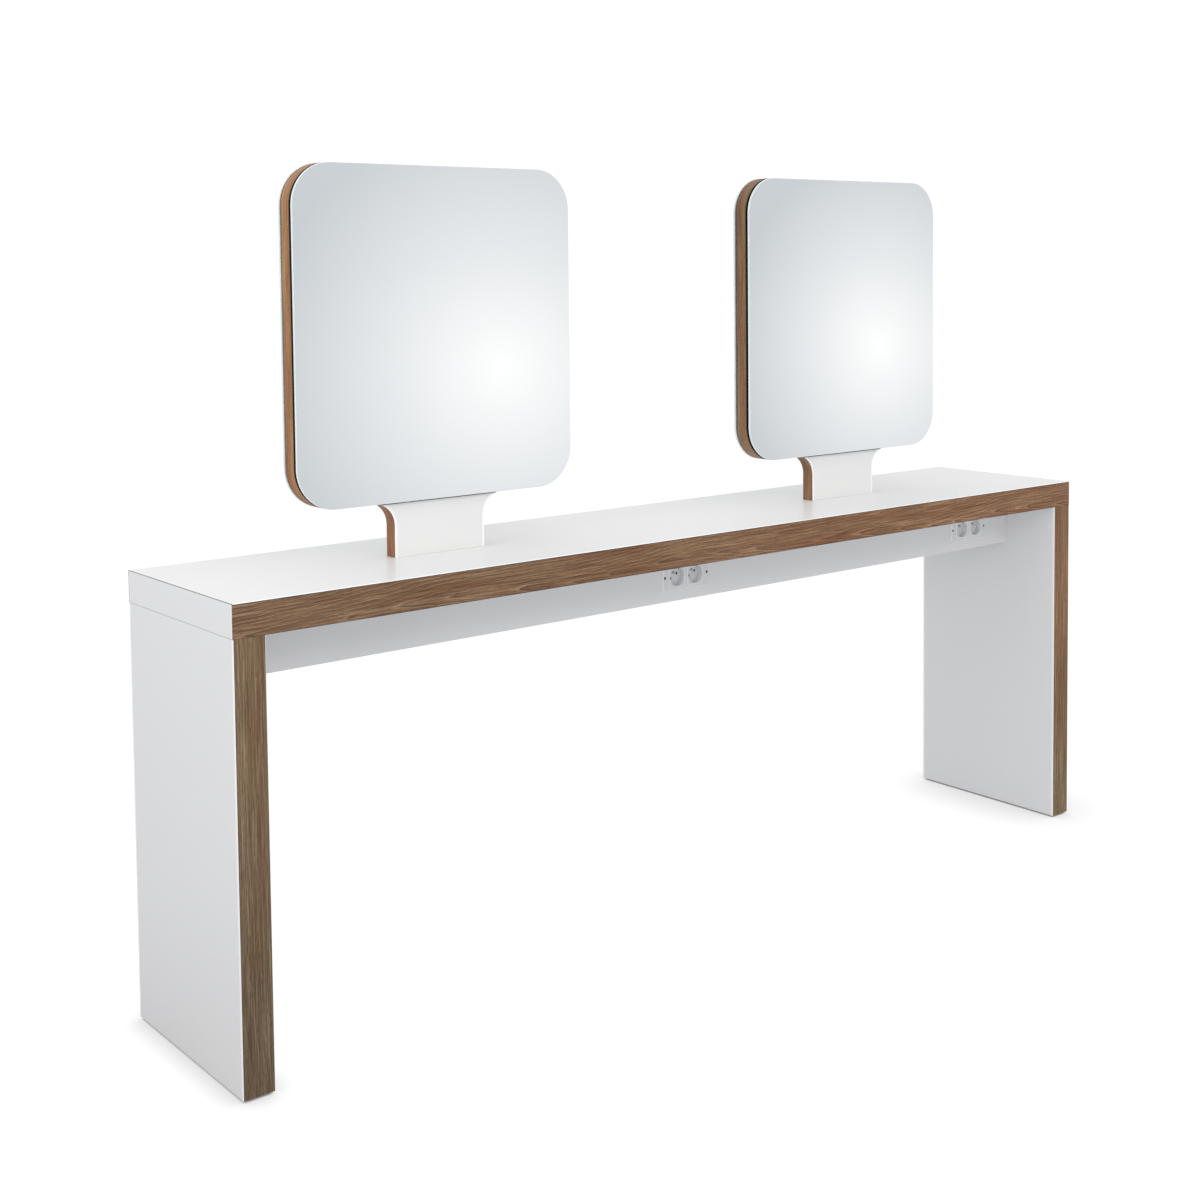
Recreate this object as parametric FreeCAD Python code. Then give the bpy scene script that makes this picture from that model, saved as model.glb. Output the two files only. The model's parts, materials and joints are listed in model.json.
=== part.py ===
import FreeCAD, Part
import math
import os

# Double sided salon station: a bridge-shaped desk of hollow-core panels with a cable duct under its top,
# power sockets for four places, and two upright mirror boards with a mirror on both faces.
# Millimetres. X runs along the desk, -Y is the front, Z is up from the floor under the middle of the desk.

V = FreeCAD.Vector
UP = V(0, 0, 1)
LEFT, RIGHT = -1, 1
FRONT, REAR = -1, 1

# ------------------------------------------------------------------ driving dimensions
# Desk
station_length = 2300.0
station_depth = 420.0
desk_height = 850.0
panel_thickness = 60.0

# Make-up of the hollow-core panels
laminate = 1.0
skin_board = 8.0
wood_band = 2.0
white_band = 1.0
arris = 0.6
edge_rail = 40.0
leg_foot_rail = 60.0
leg_head_rail = 130.0
stringer_width = 110.0
mirror_block_length = 280.0

# Dowels between the top and the legs
dowel_diameter = 10.0
dowel_length = 60.0
dowel_edge_distance = 22.0
dowels_per_leg = 4

# Adjustable glides
glide_foot_diameter = 28.0
glide_foot_thickness = 4.0
glide_foot_gap = 0.5
glide_stem_diameter = 8.0
glide_stem_length = 34.0
glide_running_gap = 0.05
glide_edge_distance = 75.0
sleeve_diameter = 13.0
sleeve_length = 22.0
sleeve_flange_diameter = 20.0
sleeve_flange_thickness = 1.5

# Cable duct
duct_width = 130.0
duct_height = 105.0
duct_board = 18.0
duct_end_gap = 0.4
duct_arris = 1.0
cover_board = 12.0
cover_gap = 0.5
cleat_width = 18.0
cleat_height = 16.0
batten_width = 16.0
batten_height = 20.0

# Steel angle at each end of the duct
bracket_width = 76.0
bracket_height = 70.0
bracket_length = 75.0
bracket_thickness = 4.0
bracket_hole_margin = 16.0
bracket_clearance = 5.0

# Countersunk wood screws
screw_length = 30.0
screw_shank = 4.0
screw_head = 8.0
screw_pitch = 330.0
screw_end_distance = 40.0
socket_screw_length = 16.0
socket_screw_shank = 3.0
socket_screw_head = 5.6
screw_point = 4.0
slot_width = 0.9

# Socket units
socket_leg_distance = 157.5
middle_unit_offset = 17.5
bezel_length = 130.0
bezel_height = 57.0
bezel_thickness = 2.5
bezel_corner = 2.0
bezel_arris = 0.8
bezel_screw_spacing = 120.0
collar_length = 104.0
collar_height = 49.0
collar_depth = 12.0
cutout_gap = 0.5
module_size = 45.0
module_pitch = 52.0
module_gap = 0.2
module_proud = 1.2
module_arris = 0.6
recess_diameter = 39.6
recess_depth = 13.0
recess_arris = 0.5
recess_floor = 2.5
contact_spacing = 19.0
contact_hole = 5.4
contact_slant = 30.0
pin_diameter = 4.8
pin_offset = 10.0
pin_below_face = 1.0
pin_root = 8.0
pin_tip_round = 1.6
base_gap = 0.5
base_depth = 24.0
sleeve_bore = 4.9
contact_sleeve_diameter = 6.5
contact_sleeve_length = 16.0

# Safety shutter behind the recess floor
shutter_thickness = 3.2
shutter_width = 10.0
shutter_travel = 6.5
shutter_overlap = 4.0
shutter_gap = 0.4

# Back boxes, wiring and supply
box_length = 110.0
box_height = 54.0
box_depth = 25.0
box_wall = 1.5
cable_diameter = 9.0
cable_entry = 3.5
clip_base = 1.5
clip_wall = 1.2
clip_width = 8.0
clip_height = 22.0
clip_pitch = 240.0
terminal_box_length = 80.0
terminal_box_height = 38.0
terminal_box_depth = 30.0
terminal_box_x = -360.0
gland_x = -460.0
gland_thread = 20.0
gland_bore = 11.0
gland_hex = 24.0
gland_hex_height = 5.0
gland_cap_diameter = 19.0
gland_cap_height = 9.0
gland_shank_above = 8.0

# Mirrors
left_mirror_end_distance = 540.0
right_mirror_end_distance = 620.0
mirror_width = 630.0
mirror_height = 640.0
mirror_rise = 107.0
mirror_corner = 80.0
glass_thickness = 5.0
glass_arris = 0.8
glass_standoff = 5.0
board_thickness = 32.0
neck_width = 206.0
neck_fillet = 45.0
tape_width = 25.0
tape_edge_distance = 45.0
tape_rows = 4
stud_diameter = 10.0
stud_spacing = 140.0
stud_in_board = 150.0
stud_below_nut = 4.0
nut_across_flats = 17.0
nut_height = 8.0
clamp_plate_length = 200.0
clamp_plate_width = 50.0
clamp_plate_thickness = 5.0

# ------------------------------------------------------------------ places worked out from them
half_length = station_length / 2
half_depth = station_depth / 2
underside_z = desk_height - panel_thickness
leg_base_z = glide_foot_thickness + glide_foot_gap
leg_height = underside_z - leg_base_z
leg_inner_x = half_length - panel_thickness
leg_middle_x = half_length - panel_thickness / 2
skin_thickness = laminate + skin_board
rail_outer_x = half_length - skin_thickness
rail_inner_x = leg_inner_x + skin_thickness
rail_face_y = half_depth - wood_band
rail_back_y = rail_face_y - edge_rail
rail_low_z = underside_z + skin_thickness
rail_high_z = desk_height - skin_thickness
top_end_x = half_length - white_band
end_block_x = leg_inner_x + laminate

duct_face_y = duct_width / 2
duct_inner_y = duct_face_y - duct_board
duct_low_z = underside_z - duct_height
duct_end_x = leg_inner_x - duct_end_gap
cover_high_z = duct_low_z + cover_board
socket_z = underside_z - duct_height / 2
outer_unit_x = leg_inner_x - socket_leg_distance

module_face_y = -(bezel_thickness + module_proud)
recess_floor_y = module_face_y + recess_depth
base_front_y = recess_floor_y + recess_floor
shutter_room = shutter_thickness + 2 * shutter_gap
base_back_y = base_front_y + base_depth
box_back_y = duct_board + box_depth
cable_y = duct_board + clip_base + cable_diameter / 2

mirror_xs = (left_mirror_end_distance - half_length, half_length - right_mirror_end_distance)
glass_low_z = desk_height + mirror_rise
glass_high_z = glass_low_z + mirror_height
board_face_y = board_thickness / 2
glass_back_y = board_face_y + glass_standoff
clamp_plate_z = underside_z - clamp_plate_thickness
nut_low_z = clamp_plate_z - nut_height

# (x, side) of the four socket units: each place has one to the right of its user. The middle ones stand a
# little to the left of the desk's middle, as the user of that side sees it
socket_units = ((-middle_unit_offset, FRONT), (outer_unit_x, FRONT),
                (middle_unit_offset, REAR), (-outer_unit_x, REAR))


# ------------------------------------------------------------------ helpers
def block(x, y, z):
    """A box between three pairs of bounds, each pair in either order."""
    (x0, x1), (y0, y1), (z0, z1) = sorted(x), sorted(y), sorted(z)
    return Part.makeBox(x1 - x0, y1 - y0, z1 - z0, V(x0, y0, z0))


def rod(diameter, start, end):
    """A round bar from one point to another."""
    return Part.makeCylinder(diameter / 2, (end - start).Length, start, end - start)


def tube(outer, inner, start, end):
    return rod(outer, start, end).cut(rod(inner, start, end))


def hexagon(across_flats, low, high, x, y):
    """An upright hexagonal prism."""
    radius = across_flats / math.sqrt(3)
    corners = [V(x + radius * math.cos(math.radians(a)), y + radius * math.sin(math.radians(a)), low)
               for a in range(0, 361, 60)]
    return Part.Face(Part.makePolygon(corners)).extrude(V(0, 0, high - low))


def moved(shape, offset):
    copy = shape.copy()
    copy.translate(offset)
    return copy


def aimed(shape, point, direction):
    """A shape that points down from the origin, put at a point and turned to a direction."""
    copy = shape.copy()
    copy.Placement = FreeCAD.Placement(point, FreeCAD.Rotation(V(0, 0, -1), direction))
    return copy


def group(solids):
    return Part.makeCompound(list(solids))


def cut_all(shape, tools):
    return shape.cut(list(tools)) if tools else shape


def edges_on_plane(shape, axis, value):
    """The edges that lie wholly in one plane across an axis ("x", "y" or "z")."""
    return [e for e in shape.Edges
            if all(abs(getattr(p, axis) - value) < 1e-6 for p in e.discretize(3))]


def chamfered(shape, size, axis, value):
    return shape.makeChamfer(size, edges_on_plane(shape, axis, value))


def spans_between(low, high, centres, half_gap):
    """The stretches of low..high that stay at least half_gap away from each centre."""
    spans = []
    start = low
    for centre in sorted(centres):
        spans.append((start, centre - half_gap))
        start = centre + half_gap
    spans.append((start, high))
    return [span for span in spans if span[1] > span[0]]


def spread(low, high, margin, pitch):
    """Even places along a stretch, from one end margin to the other, no further apart than the pitch."""
    count = max(2, math.ceil((high - low - 2 * margin) / pitch) + 1)
    step = (high - low - 2 * margin) / (count - 1)
    return [low + margin + i * step for i in range(count)]


# ------------------------------------------------------------------ panel skins and bands
def lapped_skin(length, width):
    """A skin lying flat, face at Z = 0: the laminate covers the wood bands along its two long edges."""
    sheet = block((-length / 2, length / 2), (-width / 2, width / 2), (-laminate, 0))
    sheet = chamfered(sheet, arris, "z", 0)
    board_half = width / 2 - wood_band
    board = block((-length / 2, length / 2), (-board_half, board_half), (-skin_thickness, -laminate))
    return sheet.fuse(board).removeSplitter()


def top_deck():
    """Upper skin of the desk top. Its laminate also covers the white bands at the ends."""
    skin = moved(lapped_skin(station_length, station_depth), V(0, 0, desk_height))
    end_rebates = [block((side * top_end_x, side * half_length), (-half_depth, half_depth),
                         (rail_high_z, desk_height - laminate)) for side in (LEFT, RIGHT)]
    return cut_all(skin, end_rebates + stud_tools)


def top_underside():
    """Lower skin of the desk top, set inside the edge bands."""
    skin = block((-top_end_x, top_end_x), (-rail_face_y, rail_face_y), (underside_z, rail_low_z))
    return cut_all(skin, dowels + stud_tools + cleat_screw_tools + bracket_top_tools)


def top_rails():
    """Chipboard inside the top: long rails, end blocks over the legs, mirror blocks and stringers."""
    height = (rail_low_z, rail_high_z)
    inner_y = (-rail_back_y, rail_back_y)
    pieces = [block((-top_end_x, top_end_x), (side * rail_back_y, side * rail_face_y), height)
              for side in (FRONT, REAR)]
    pieces += [block((side * end_block_x, side * top_end_x), inner_y, height) for side in (LEFT, RIGHT)]
    pieces += [block((x - mirror_block_length / 2, x + mirror_block_length / 2), inner_y, height)
               for x in mirror_xs]
    pieces += [block(span, (-stringer_width / 2, stringer_width / 2), height) for span in top_bays]
    tools = dowels + stud_tools + cleat_screw_tools + bracket_top_tools
    return group(cut_all(piece, tools) for piece in pieces)


def top_band(side):
    """Wood band along one long edge of the top, under the deck's laminate."""
    return block((-half_length, half_length), (side * rail_face_y, side * half_depth),
                 (underside_z, desk_height - laminate))


def top_end_bands():
    return group(block((side * top_end_x, side * half_length), (-rail_face_y, rail_face_y),
                       (underside_z, desk_height - laminate)) for side in (LEFT, RIGHT))


def leg_skin(side, facing):
    """One skin of a leg, its laminate facing outwards (facing = side) or towards the knees."""
    skin = lapped_skin(leg_height, station_depth)
    skin.rotate(V(0, 0, 0), V(0, 1, 0), 90 * facing)
    face_x = side * (half_length if facing == side else leg_inner_x)
    skin.translate(V(face_x, 0, leg_base_z + leg_height / 2))
    return skin if facing == side else cut_all(skin, bracket_leg_tools)


def leg_rails():
    """Chipboard inside both legs: two stiles, a foot rail for the glides and a head rail for the bracket."""
    pieces = []
    for side in (LEFT, RIGHT):
        across = (side * rail_inner_x, side * rail_outer_x)
        inner_y = (-rail_back_y, rail_back_y)
        pieces += [block(across, (edge * rail_back_y, edge * rail_face_y), (leg_base_z, underside_z))
                   for edge in (FRONT, REAR)]
        pieces.append(block(across, inner_y, (leg_base_z, leg_base_z + leg_foot_rail)))
        pieces.append(block(across, inner_y, (underside_z - leg_head_rail, underside_z)))
    tools = dowels + bracket_leg_tools + glide_bores
    return group(cut_all(piece, tools) for piece in pieces)


def leg_band(side, edge):
    """Wood band up one edge of a leg, between the leg's two laminates."""
    return block((side * (leg_inner_x + laminate), side * (half_length - laminate)),
                 (edge * rail_face_y, edge * half_depth), (leg_base_z, underside_z))


def honeycomb_cores():
    """Infill of the top's bays, front and rear of the stringer, and of both legs."""
    cores = [block(span, (side * stringer_width / 2, side * rail_back_y), (rail_low_z, rail_high_z))
             for span in top_bays for side in (FRONT, REAR)]
    cores += [block((side * rail_inner_x, side * rail_outer_x), (-rail_back_y, rail_back_y),
                    (leg_base_z + leg_foot_rail, underside_z - leg_head_rail)) for side in (LEFT, RIGHT)]
    return group(cores)


def dowel_places():
    reach = half_depth - dowel_edge_distance
    step = 2 * reach / (dowels_per_leg - 1)
    return [(side * leg_middle_x, -reach + i * step) for side in (LEFT, RIGHT) for i in range(dowels_per_leg)]


# ------------------------------------------------------------------ screws
def screw_blank(length, shank, head):
    """A countersunk screw with no drive, pointing down with its head's face at Z = 0."""
    head_height = (head - shank) / 2
    cone = Part.makeCone(shank / 2, head / 2, head_height, V(0, 0, -head_height))
    body = rod(shank, V(0, 0, -head_height), V(0, 0, screw_point - length))
    point = Part.makeCone(shank / 10, shank / 2, screw_point, V(0, 0, -length))
    return cone.fuse([body, point]).removeSplitter()


def cross_drive(head):
    """The cross-shaped recess in a screw head."""
    arm = head * 0.32
    depth = head * 0.18
    bars = [block((-arm, arm), (-slot_width / 2, slot_width / 2), (-depth, 0)),
            block((-slot_width / 2, slot_width / 2), (-arm, arm), (-depth, 0))]
    return bars[0].fuse(bars[1])


def screws_at(blank, head, places):
    finished = blank.cut(cross_drive(head))
    return [aimed(finished, point, direction) for point, direction in places]


def blanks_at(blank, places):
    return [aimed(blank, point, direction) for point, direction in places]


# ------------------------------------------------------------------ cable duct
def cleat_span():
    end = leg_inner_x - bracket_length - bracket_clearance
    return (-end, end)


def batten_spans(side):
    """Battens run along the duct's foot and stop clear of the back boxes."""
    centres = [x for x, unit_side in socket_units if unit_side == side]
    end = leg_inner_x - bracket_thickness - bracket_clearance
    return spans_between(-end, end, centres, box_length / 2 + bracket_clearance)


def cleat_screw_places():
    low, high = cleat_span()
    y = duct_inner_y - cleat_width / 2
    return [(V(x, side * y, underside_z - cleat_height), UP)
            for x in spread(low, high, screw_end_distance, screw_pitch) for side in (FRONT, REAR)]


def cover_screw_places():
    y = duct_inner_y - batten_width / 2
    return [(V(x, side * y, duct_low_z), UP) for side in (FRONT, REAR)
            for low, high in batten_spans(side) for x in spread(low, high, screw_end_distance, screw_pitch)]


def bracket_screw_places(up):
    """Four screws up into the top, or four out into the leg, on each end bracket."""
    y = bracket_width / 2 - bracket_hole_margin
    places = []
    for side in (LEFT, RIGHT):
        for along in (bracket_hole_margin + bracket_thickness, None):
            for row in (-y, y):
                if up:
                    reach = along if along else bracket_length - bracket_hole_margin
                    point = V(side * (leg_inner_x - reach), row, underside_z - bracket_thickness)
                    places.append((point, UP))
                else:
                    drop = along if along else bracket_height - bracket_hole_margin
                    point = V(side * (leg_inner_x - bracket_thickness), row, underside_z - drop)
                    places.append((point, V(side, 0, 0)))
    return places


def end_brackets():
    pieces = []
    width = (-bracket_width / 2, bracket_width / 2)
    for side in (LEFT, RIGHT):
        inner = side * leg_inner_x
        upright = block((inner - side * bracket_thickness, inner), width,
                        (underside_z - bracket_height, underside_z))
        shelf = block((inner - side * bracket_length, inner), width,
                      (underside_z - bracket_thickness, underside_z))
        angle = upright.fuse(shelf).removeSplitter()
        pieces.append(cut_all(angle, bracket_top_tools + bracket_leg_tools))
    return group(pieces)


def duct_panel(side):
    """Side board of the duct with a cut-out for each socket unit."""
    panel = block((-duct_end_x, duct_end_x), (side * duct_inner_y, side * duct_face_y),
                  (duct_low_z, underside_z))
    low_edge = [e for e in edges_on_plane(panel, "y", side * duct_face_y)
                if abs(e.CenterOfMass.z - duct_low_z) < 1e-6]
    panel = panel.makeChamfer(duct_arris, low_edge)
    cutouts = [block((x - collar_length / 2 - cutout_gap, x + collar_length / 2 + cutout_gap),
                     (side * duct_inner_y, side * duct_face_y),
                     (socket_z - collar_height / 2 - cutout_gap, socket_z + collar_height / 2 + cutout_gap))
               for x, unit_side in socket_units if unit_side == side]
    return cut_all(panel, cutouts + socket_screw_tools)


def duct_cover():
    """Removable bottom of the duct, between the side boards."""
    half_width = duct_inner_y - cover_gap
    cover = block((-duct_end_x, duct_end_x), (-half_width, half_width), (duct_low_z, cover_high_z))
    gland_hole = rod(gland_thread, V(gland_x, 0, duct_low_z), V(gland_x, 0, cover_high_z))
    return cut_all(cover, cover_screw_tools + [gland_hole])


def duct_cleats():
    """Cleats under the top and battens for the cover, glued to the side boards."""
    pieces = []
    for side in (FRONT, REAR):
        pieces.append(block(cleat_span(), (side * (duct_inner_y - cleat_width), side * duct_inner_y),
                            (underside_z - cleat_height, underside_z)))
        pieces += [block(span, (side * (duct_inner_y - batten_width), side * duct_inner_y),
                         (cover_high_z, cover_high_z + batten_height)) for span in batten_spans(side)]
    return group(cut_all(piece, cleat_screw_tools + cover_screw_tools) for piece in pieces)


# ------------------------------------------------------------------ socket units
# Each unit is drawn about its centre on the duct's outer face: +X to its user's right, -Y towards the user.
module_xs = (-module_pitch / 2, module_pitch / 2)
slant_direction = V(math.cos(math.radians(contact_slant)), 0, math.sin(math.radians(contact_slant)))
slant_normal = V(-slant_direction.z, 0, slant_direction.x)


def on_unit(shape, unit):
    """A shape of the unit's own drawing, put where that unit is."""
    x, side = unit
    copy = shape.copy()
    turn = 0 if side == FRONT else 180
    place = FreeCAD.Placement(V(x, side * duct_face_y, socket_z), FreeCAD.Rotation(UP, turn))
    copy.Placement = place.multiply(shape.Placement)
    return copy


def on_every_unit(shapes):
    return [on_unit(shape, unit) for unit in socket_units for shape in shapes]


def slanted(along, across, y):
    """A point of a module given along and across its slanting line of contacts."""
    return slant_direction * along + slant_normal * across + V(0, y, 0)


def slanted_block(along, width, y):
    """A box that lies along the line of contacts."""
    box = block(along, y, (-width / 2, width / 2))
    box.rotate(V(0, 0, 0), V(0, 1, 0), -contact_slant)
    return box


def rounded_plate(length, height, corner, y_front, y_back, edge):
    """A plate with rounded corners and a chamfer round its front face."""
    plate = block((-length / 2, length / 2), (y_front, y_back), (-height / 2, height / 2))
    along_y = [e for e in plate.Edges if abs(e.tangentAt(e.FirstParameter).y) > 0.9]
    plate = plate.makeFillet(corner, along_y)
    return chamfered(plate, edge, "y", y_front)


def socket_frame():
    """Bezel plate with the collar that holds both modules."""
    plate = rounded_plate(bezel_length, bezel_height, bezel_corner, -bezel_thickness, 0, bezel_arris)
    collar = block((-collar_length / 2, collar_length / 2), (0, collar_depth),
                   (-collar_height / 2, collar_height / 2))
    half = module_size / 2 + module_gap
    windows = [block((x - half, x + half), (-bezel_thickness, collar_depth), (-half, half)) for x in module_xs]
    return cut_all(plate.fuse(collar).removeSplitter(), windows + socket_screw_blanks)


def contact_places(offset=0.0):
    return [slanted(end * contact_spacing / 2 - offset, 0, 0) for end in (LEFT, RIGHT)]


def pin_place():
    return slanted(0, pin_offset, 0)


def socket_insert():
    """Front moulding of a module: a round recess whose floor has two contact holes and the pin's hole."""
    insert = rounded_plate(module_size, module_size, bezel_corner, module_face_y, base_front_y, module_arris)
    recess = rod(recess_diameter, V(0, module_face_y, 0), V(0, recess_floor_y, 0))
    rim = Part.makeCone(recess_diameter / 2 + recess_arris, recess_diameter / 2, recess_arris,
                        V(0, module_face_y, 0), V(0, 1, 0))
    holes = [rod(contact_hole, place + V(0, recess_floor_y, 0), place + V(0, base_front_y, 0))
             for place in contact_places()]
    return cut_all(insert, [recess, rim, earth_pin_blank()] + holes)


def earth_pin_blank():
    root = pin_place() + V(0, base_front_y + pin_root, 0)
    tip = pin_place() + V(0, module_face_y + pin_below_face, 0)
    return rod(pin_diameter, root, tip)


def earth_pin():
    """Round-tipped pin, standing from the rear moulding to just below the module's face."""
    pin = earth_pin_blank()
    return pin.makeFillet(pin_tip_round, edges_on_plane(pin, "y", module_face_y + pin_below_face))


def contact_sleeves():
    start = base_front_y + shutter_room
    return [tube(contact_sleeve_diameter, sleeve_bore, place + V(0, start, 0),
                 place + V(0, start + contact_sleeve_length, 0)) for place in contact_places()]


def socket_base():
    """Rear moulding of a module, with the shutter's pocket and the bores of the contacts."""
    half = module_size / 2 - base_gap
    base = block((-half, half), (base_front_y, base_back_y), (-half, half))
    reach = contact_spacing / 2 + shutter_travel + shutter_overlap + shutter_gap
    pocket = slanted_block((-reach, reach), shutter_width + 2 * shutter_gap,
                           (base_front_y, base_front_y + shutter_room))
    start = base_front_y + shutter_room
    bores = [rod(contact_sleeve_diameter, place + V(0, start, 0), place + V(0, start + contact_sleeve_length, 0))
             for place in contact_places()]
    return cut_all(base, [pocket, earth_pin_blank()] + bores)


def socket_shutter():
    """Slide that covers both contact holes at rest; its own holes line up with them after its travel."""
    low = -contact_spacing / 2 - shutter_travel - shutter_overlap
    high = contact_spacing / 2 + shutter_overlap
    y = (base_front_y + shutter_gap, base_front_y + shutter_gap + shutter_thickness)
    plate = slanted_block((low, high), shutter_width, y)
    holes = [rod(contact_hole, place + V(0, y[0], 0), place + V(0, y[1], 0))
             for place in contact_places(shutter_travel)]
    return cut_all(plate, holes)


def in_both_modules(shapes):
    return [moved(shape, V(x, 0, 0)) for x in module_xs for shape in shapes]


def back_boxes():
    half = box_length / 2
    shell = block((-half, half), (duct_board, box_back_y), (-box_height / 2, box_height / 2))
    room = block((-half + box_wall, half - box_wall), (duct_board, box_back_y - box_wall),
                 (-box_height / 2 + box_wall, box_height / 2 - box_wall))
    return group(cut_all(box, cable_runs) for box in on_every_unit([shell.cut(room)]))


# ------------------------------------------------------------------ wiring and supply
def cable_ends():
    """Start and end of each run: from the terminal box to the middle units, then on to the outer ones."""
    y = duct_face_y - cable_y
    half_box = box_length / 2 - cable_entry
    terminal_end = terminal_box_x + terminal_box_length / 2 - cable_entry
    link_y = duct_face_y - box_back_y + cable_entry
    return [
        (V(terminal_end, -y, socket_z), V(-middle_unit_offset - half_box, -y, socket_z)),
        (V(half_box - middle_unit_offset, -y, socket_z), V(outer_unit_x - half_box, -y, socket_z)),
        (V(0, -link_y, socket_z), V(0, link_y, socket_z)),
        (V(middle_unit_offset - half_box, y, socket_z), V(half_box - outer_unit_x, y, socket_z)),
    ]


def cable_clips():
    """Clips stuck to the inside of the duct along each lengthwise run."""
    clips = []
    for start, end in cable_ends():
        if abs(start.x - end.x) < clip_pitch:
            continue
        low, high = sorted((start.x, end.x))
        side = FRONT if start.y < 0 else REAR
        wall_y = side * duct_inner_y
        for x in spread(low, high, screw_end_distance, clip_pitch):
            reach = V(clip_width / 2, 0, 0)
            middle = V(x, start.y, socket_z)
            base = block((x - clip_width / 2, x + clip_width / 2), (wall_y, wall_y - side * clip_base),
                         (socket_z - clip_height / 2, socket_z + clip_height / 2))
            ring = rod(cable_diameter + 2 * clip_wall, middle - reach, middle + reach)
            ring = ring.common(block((low, high), (wall_y, 0), (duct_low_z, underside_z)))
            clips.append(base.fuse(ring).removeSplitter().cut(rod(cable_diameter, middle - reach, middle + reach)))
    return group(clips)


def terminal_box():
    """Closed box on the duct's front board, between the supply gland and the first unit."""
    half = terminal_box_length / 2
    x = (terminal_box_x - half, terminal_box_x + half)
    z = (socket_z - terminal_box_height / 2, socket_z + terminal_box_height / 2)
    batten_top = cover_high_z + batten_height
    low_z = max(z[0], batten_top)
    y = (-duct_inner_y, -duct_inner_y + terminal_box_depth)
    shell = block(x, y, (low_z, z[1]))
    room = block((x[0] + box_wall, x[1] - box_wall), (y[0] + box_wall, y[1] - box_wall),
                 (low_z + box_wall, z[1] - box_wall))
    middle = V(x[0], (y[0] + y[1]) / 2, socket_z)
    supply_hole = rod(gland_bore, middle, middle + V(box_wall, 0, 0))
    return cut_all(shell.cut(room), cable_runs + [supply_hole])


def cable_gland():
    """Gland through the duct's cover, with its lock nut above the cover."""
    cap_z = duct_low_z - gland_hex_height - gland_cap_height
    shank_z = cover_high_z + gland_shank_above
    body = hexagon(gland_hex, duct_low_z - gland_hex_height, duct_low_z, gland_x, 0)
    cap = rod(gland_cap_diameter, V(gland_x, 0, cap_z), V(gland_x, 0, duct_low_z - gland_hex_height))
    cap = chamfered(cap, duct_arris, "z", cap_z)
    shank = rod(gland_thread, V(gland_x, 0, duct_low_z), V(gland_x, 0, shank_z))
    bore = rod(gland_bore, V(gland_x, 0, cap_z), V(gland_x, 0, shank_z))
    nut = hexagon(gland_hex, cover_high_z, cover_high_z + gland_hex_height, gland_x, 0)
    return group([body.fuse([cap, shank]).removeSplitter().cut(bore), nut.cut(shank)])


# ------------------------------------------------------------------ mirrors
def arc(centre_x, centre_z, radius, start, end):
    """An arc in the XZ plane between two angles in degrees."""
    points = [V(centre_x + radius * math.cos(math.radians(a)), 0, centre_z + radius * math.sin(math.radians(a)))
              for a in (start, (start + end) / 2, end)]
    return Part.Arc(*points).toShape()


def closed_outline(edges):
    """Joins arcs and lines, in order, with straight lines wherever two ends don't meet."""
    joined = []
    for edge, following in zip(edges, edges[1:] + edges[:1]):
        joined.append(edge)
        end, start = last_point(edge), first_point(following)
        if (end - start).Length > 1e-6:
            joined.append(Part.makeLine(end, start))
    return Part.Face(Part.Wire(joined))


def first_point(edge):
    return edge.valueAt(edge.FirstParameter)


def last_point(edge):
    return edge.valueAt(edge.LastParameter)


def glass_outline():
    half = mirror_width / 2 - mirror_corner
    low = glass_low_z + mirror_corner
    high = glass_high_z - mirror_corner
    return closed_outline([arc(half, low, mirror_corner, -90, 0), arc(half, high, mirror_corner, 0, 90),
                           arc(-half, high, mirror_corner, 90, 180), arc(-half, low, mirror_corner, 180, 270)])


def board_outline(inset):
    """Outline of board and neck in one, flush with the glass, drawn inside that contour by the inset."""
    corner = mirror_corner - inset
    half = mirror_width / 2 - mirror_corner
    low = glass_low_z + inset
    high = glass_high_z - mirror_corner
    neck = neck_width / 2 - inset
    flare = neck_fillet + inset
    foot = Part.makeLine(V(-neck, 0, desk_height), V(neck, 0, desk_height))
    return closed_outline([
        foot,
        arc(neck + flare, low - flare, flare, 180, 90),
        arc(half, low + corner, corner, -90, 0),
        arc(half, high, corner, 0, 90),
        arc(-half, high, corner, 90, 180),
        arc(-half, low + corner, corner, 180, 270),
        arc(-neck - flare, low - flare, flare, 90, 0),
    ])


def slab(face, y0, y1):
    """A face of the XZ plane given a thickness from y0 to y1."""
    solid = face.extrude(V(0, y1 - y0, 0))
    solid.translate(V(0, y0, 0))
    return solid


def mirror_board(x):
    """Board with its neck: a core inside the wood band and a laminate that laps the band on both faces."""
    core_y = board_face_y - laminate
    pieces = [slab(board_outline(wood_band), -core_y, core_y)]
    for side in (FRONT, REAR):
        sheet = slab(board_outline(0), *sorted((side * core_y, side * board_face_y)))
        pieces.append(chamfered(sheet, arris, "y", side * board_face_y))
    board = pieces[0].fuse(pieces[1:]).removeSplitter()
    return cut_all(moved(board, V(x, 0, 0)), stud_tools)


def mirror_band(x):
    """Wood band round the board and down both sides of the neck."""
    core_y = board_face_y - laminate
    band = slab(board_outline(0), -core_y, core_y).cut(slab(board_outline(wood_band), -core_y, core_y))
    return moved(band, V(x, 0, 0))


def mirror_glass(x, side):
    """Silvered glass with a polished edge, standing off from the board."""
    near, far = side * glass_back_y, side * (glass_back_y + glass_thickness)
    glass = slab(glass_outline(), *sorted((near, far)))
    glass = chamfered(chamfered(glass, glass_arris, "y", far), glass_arris, "y", near)
    return moved(glass, V(x, 0, 0))


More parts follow.
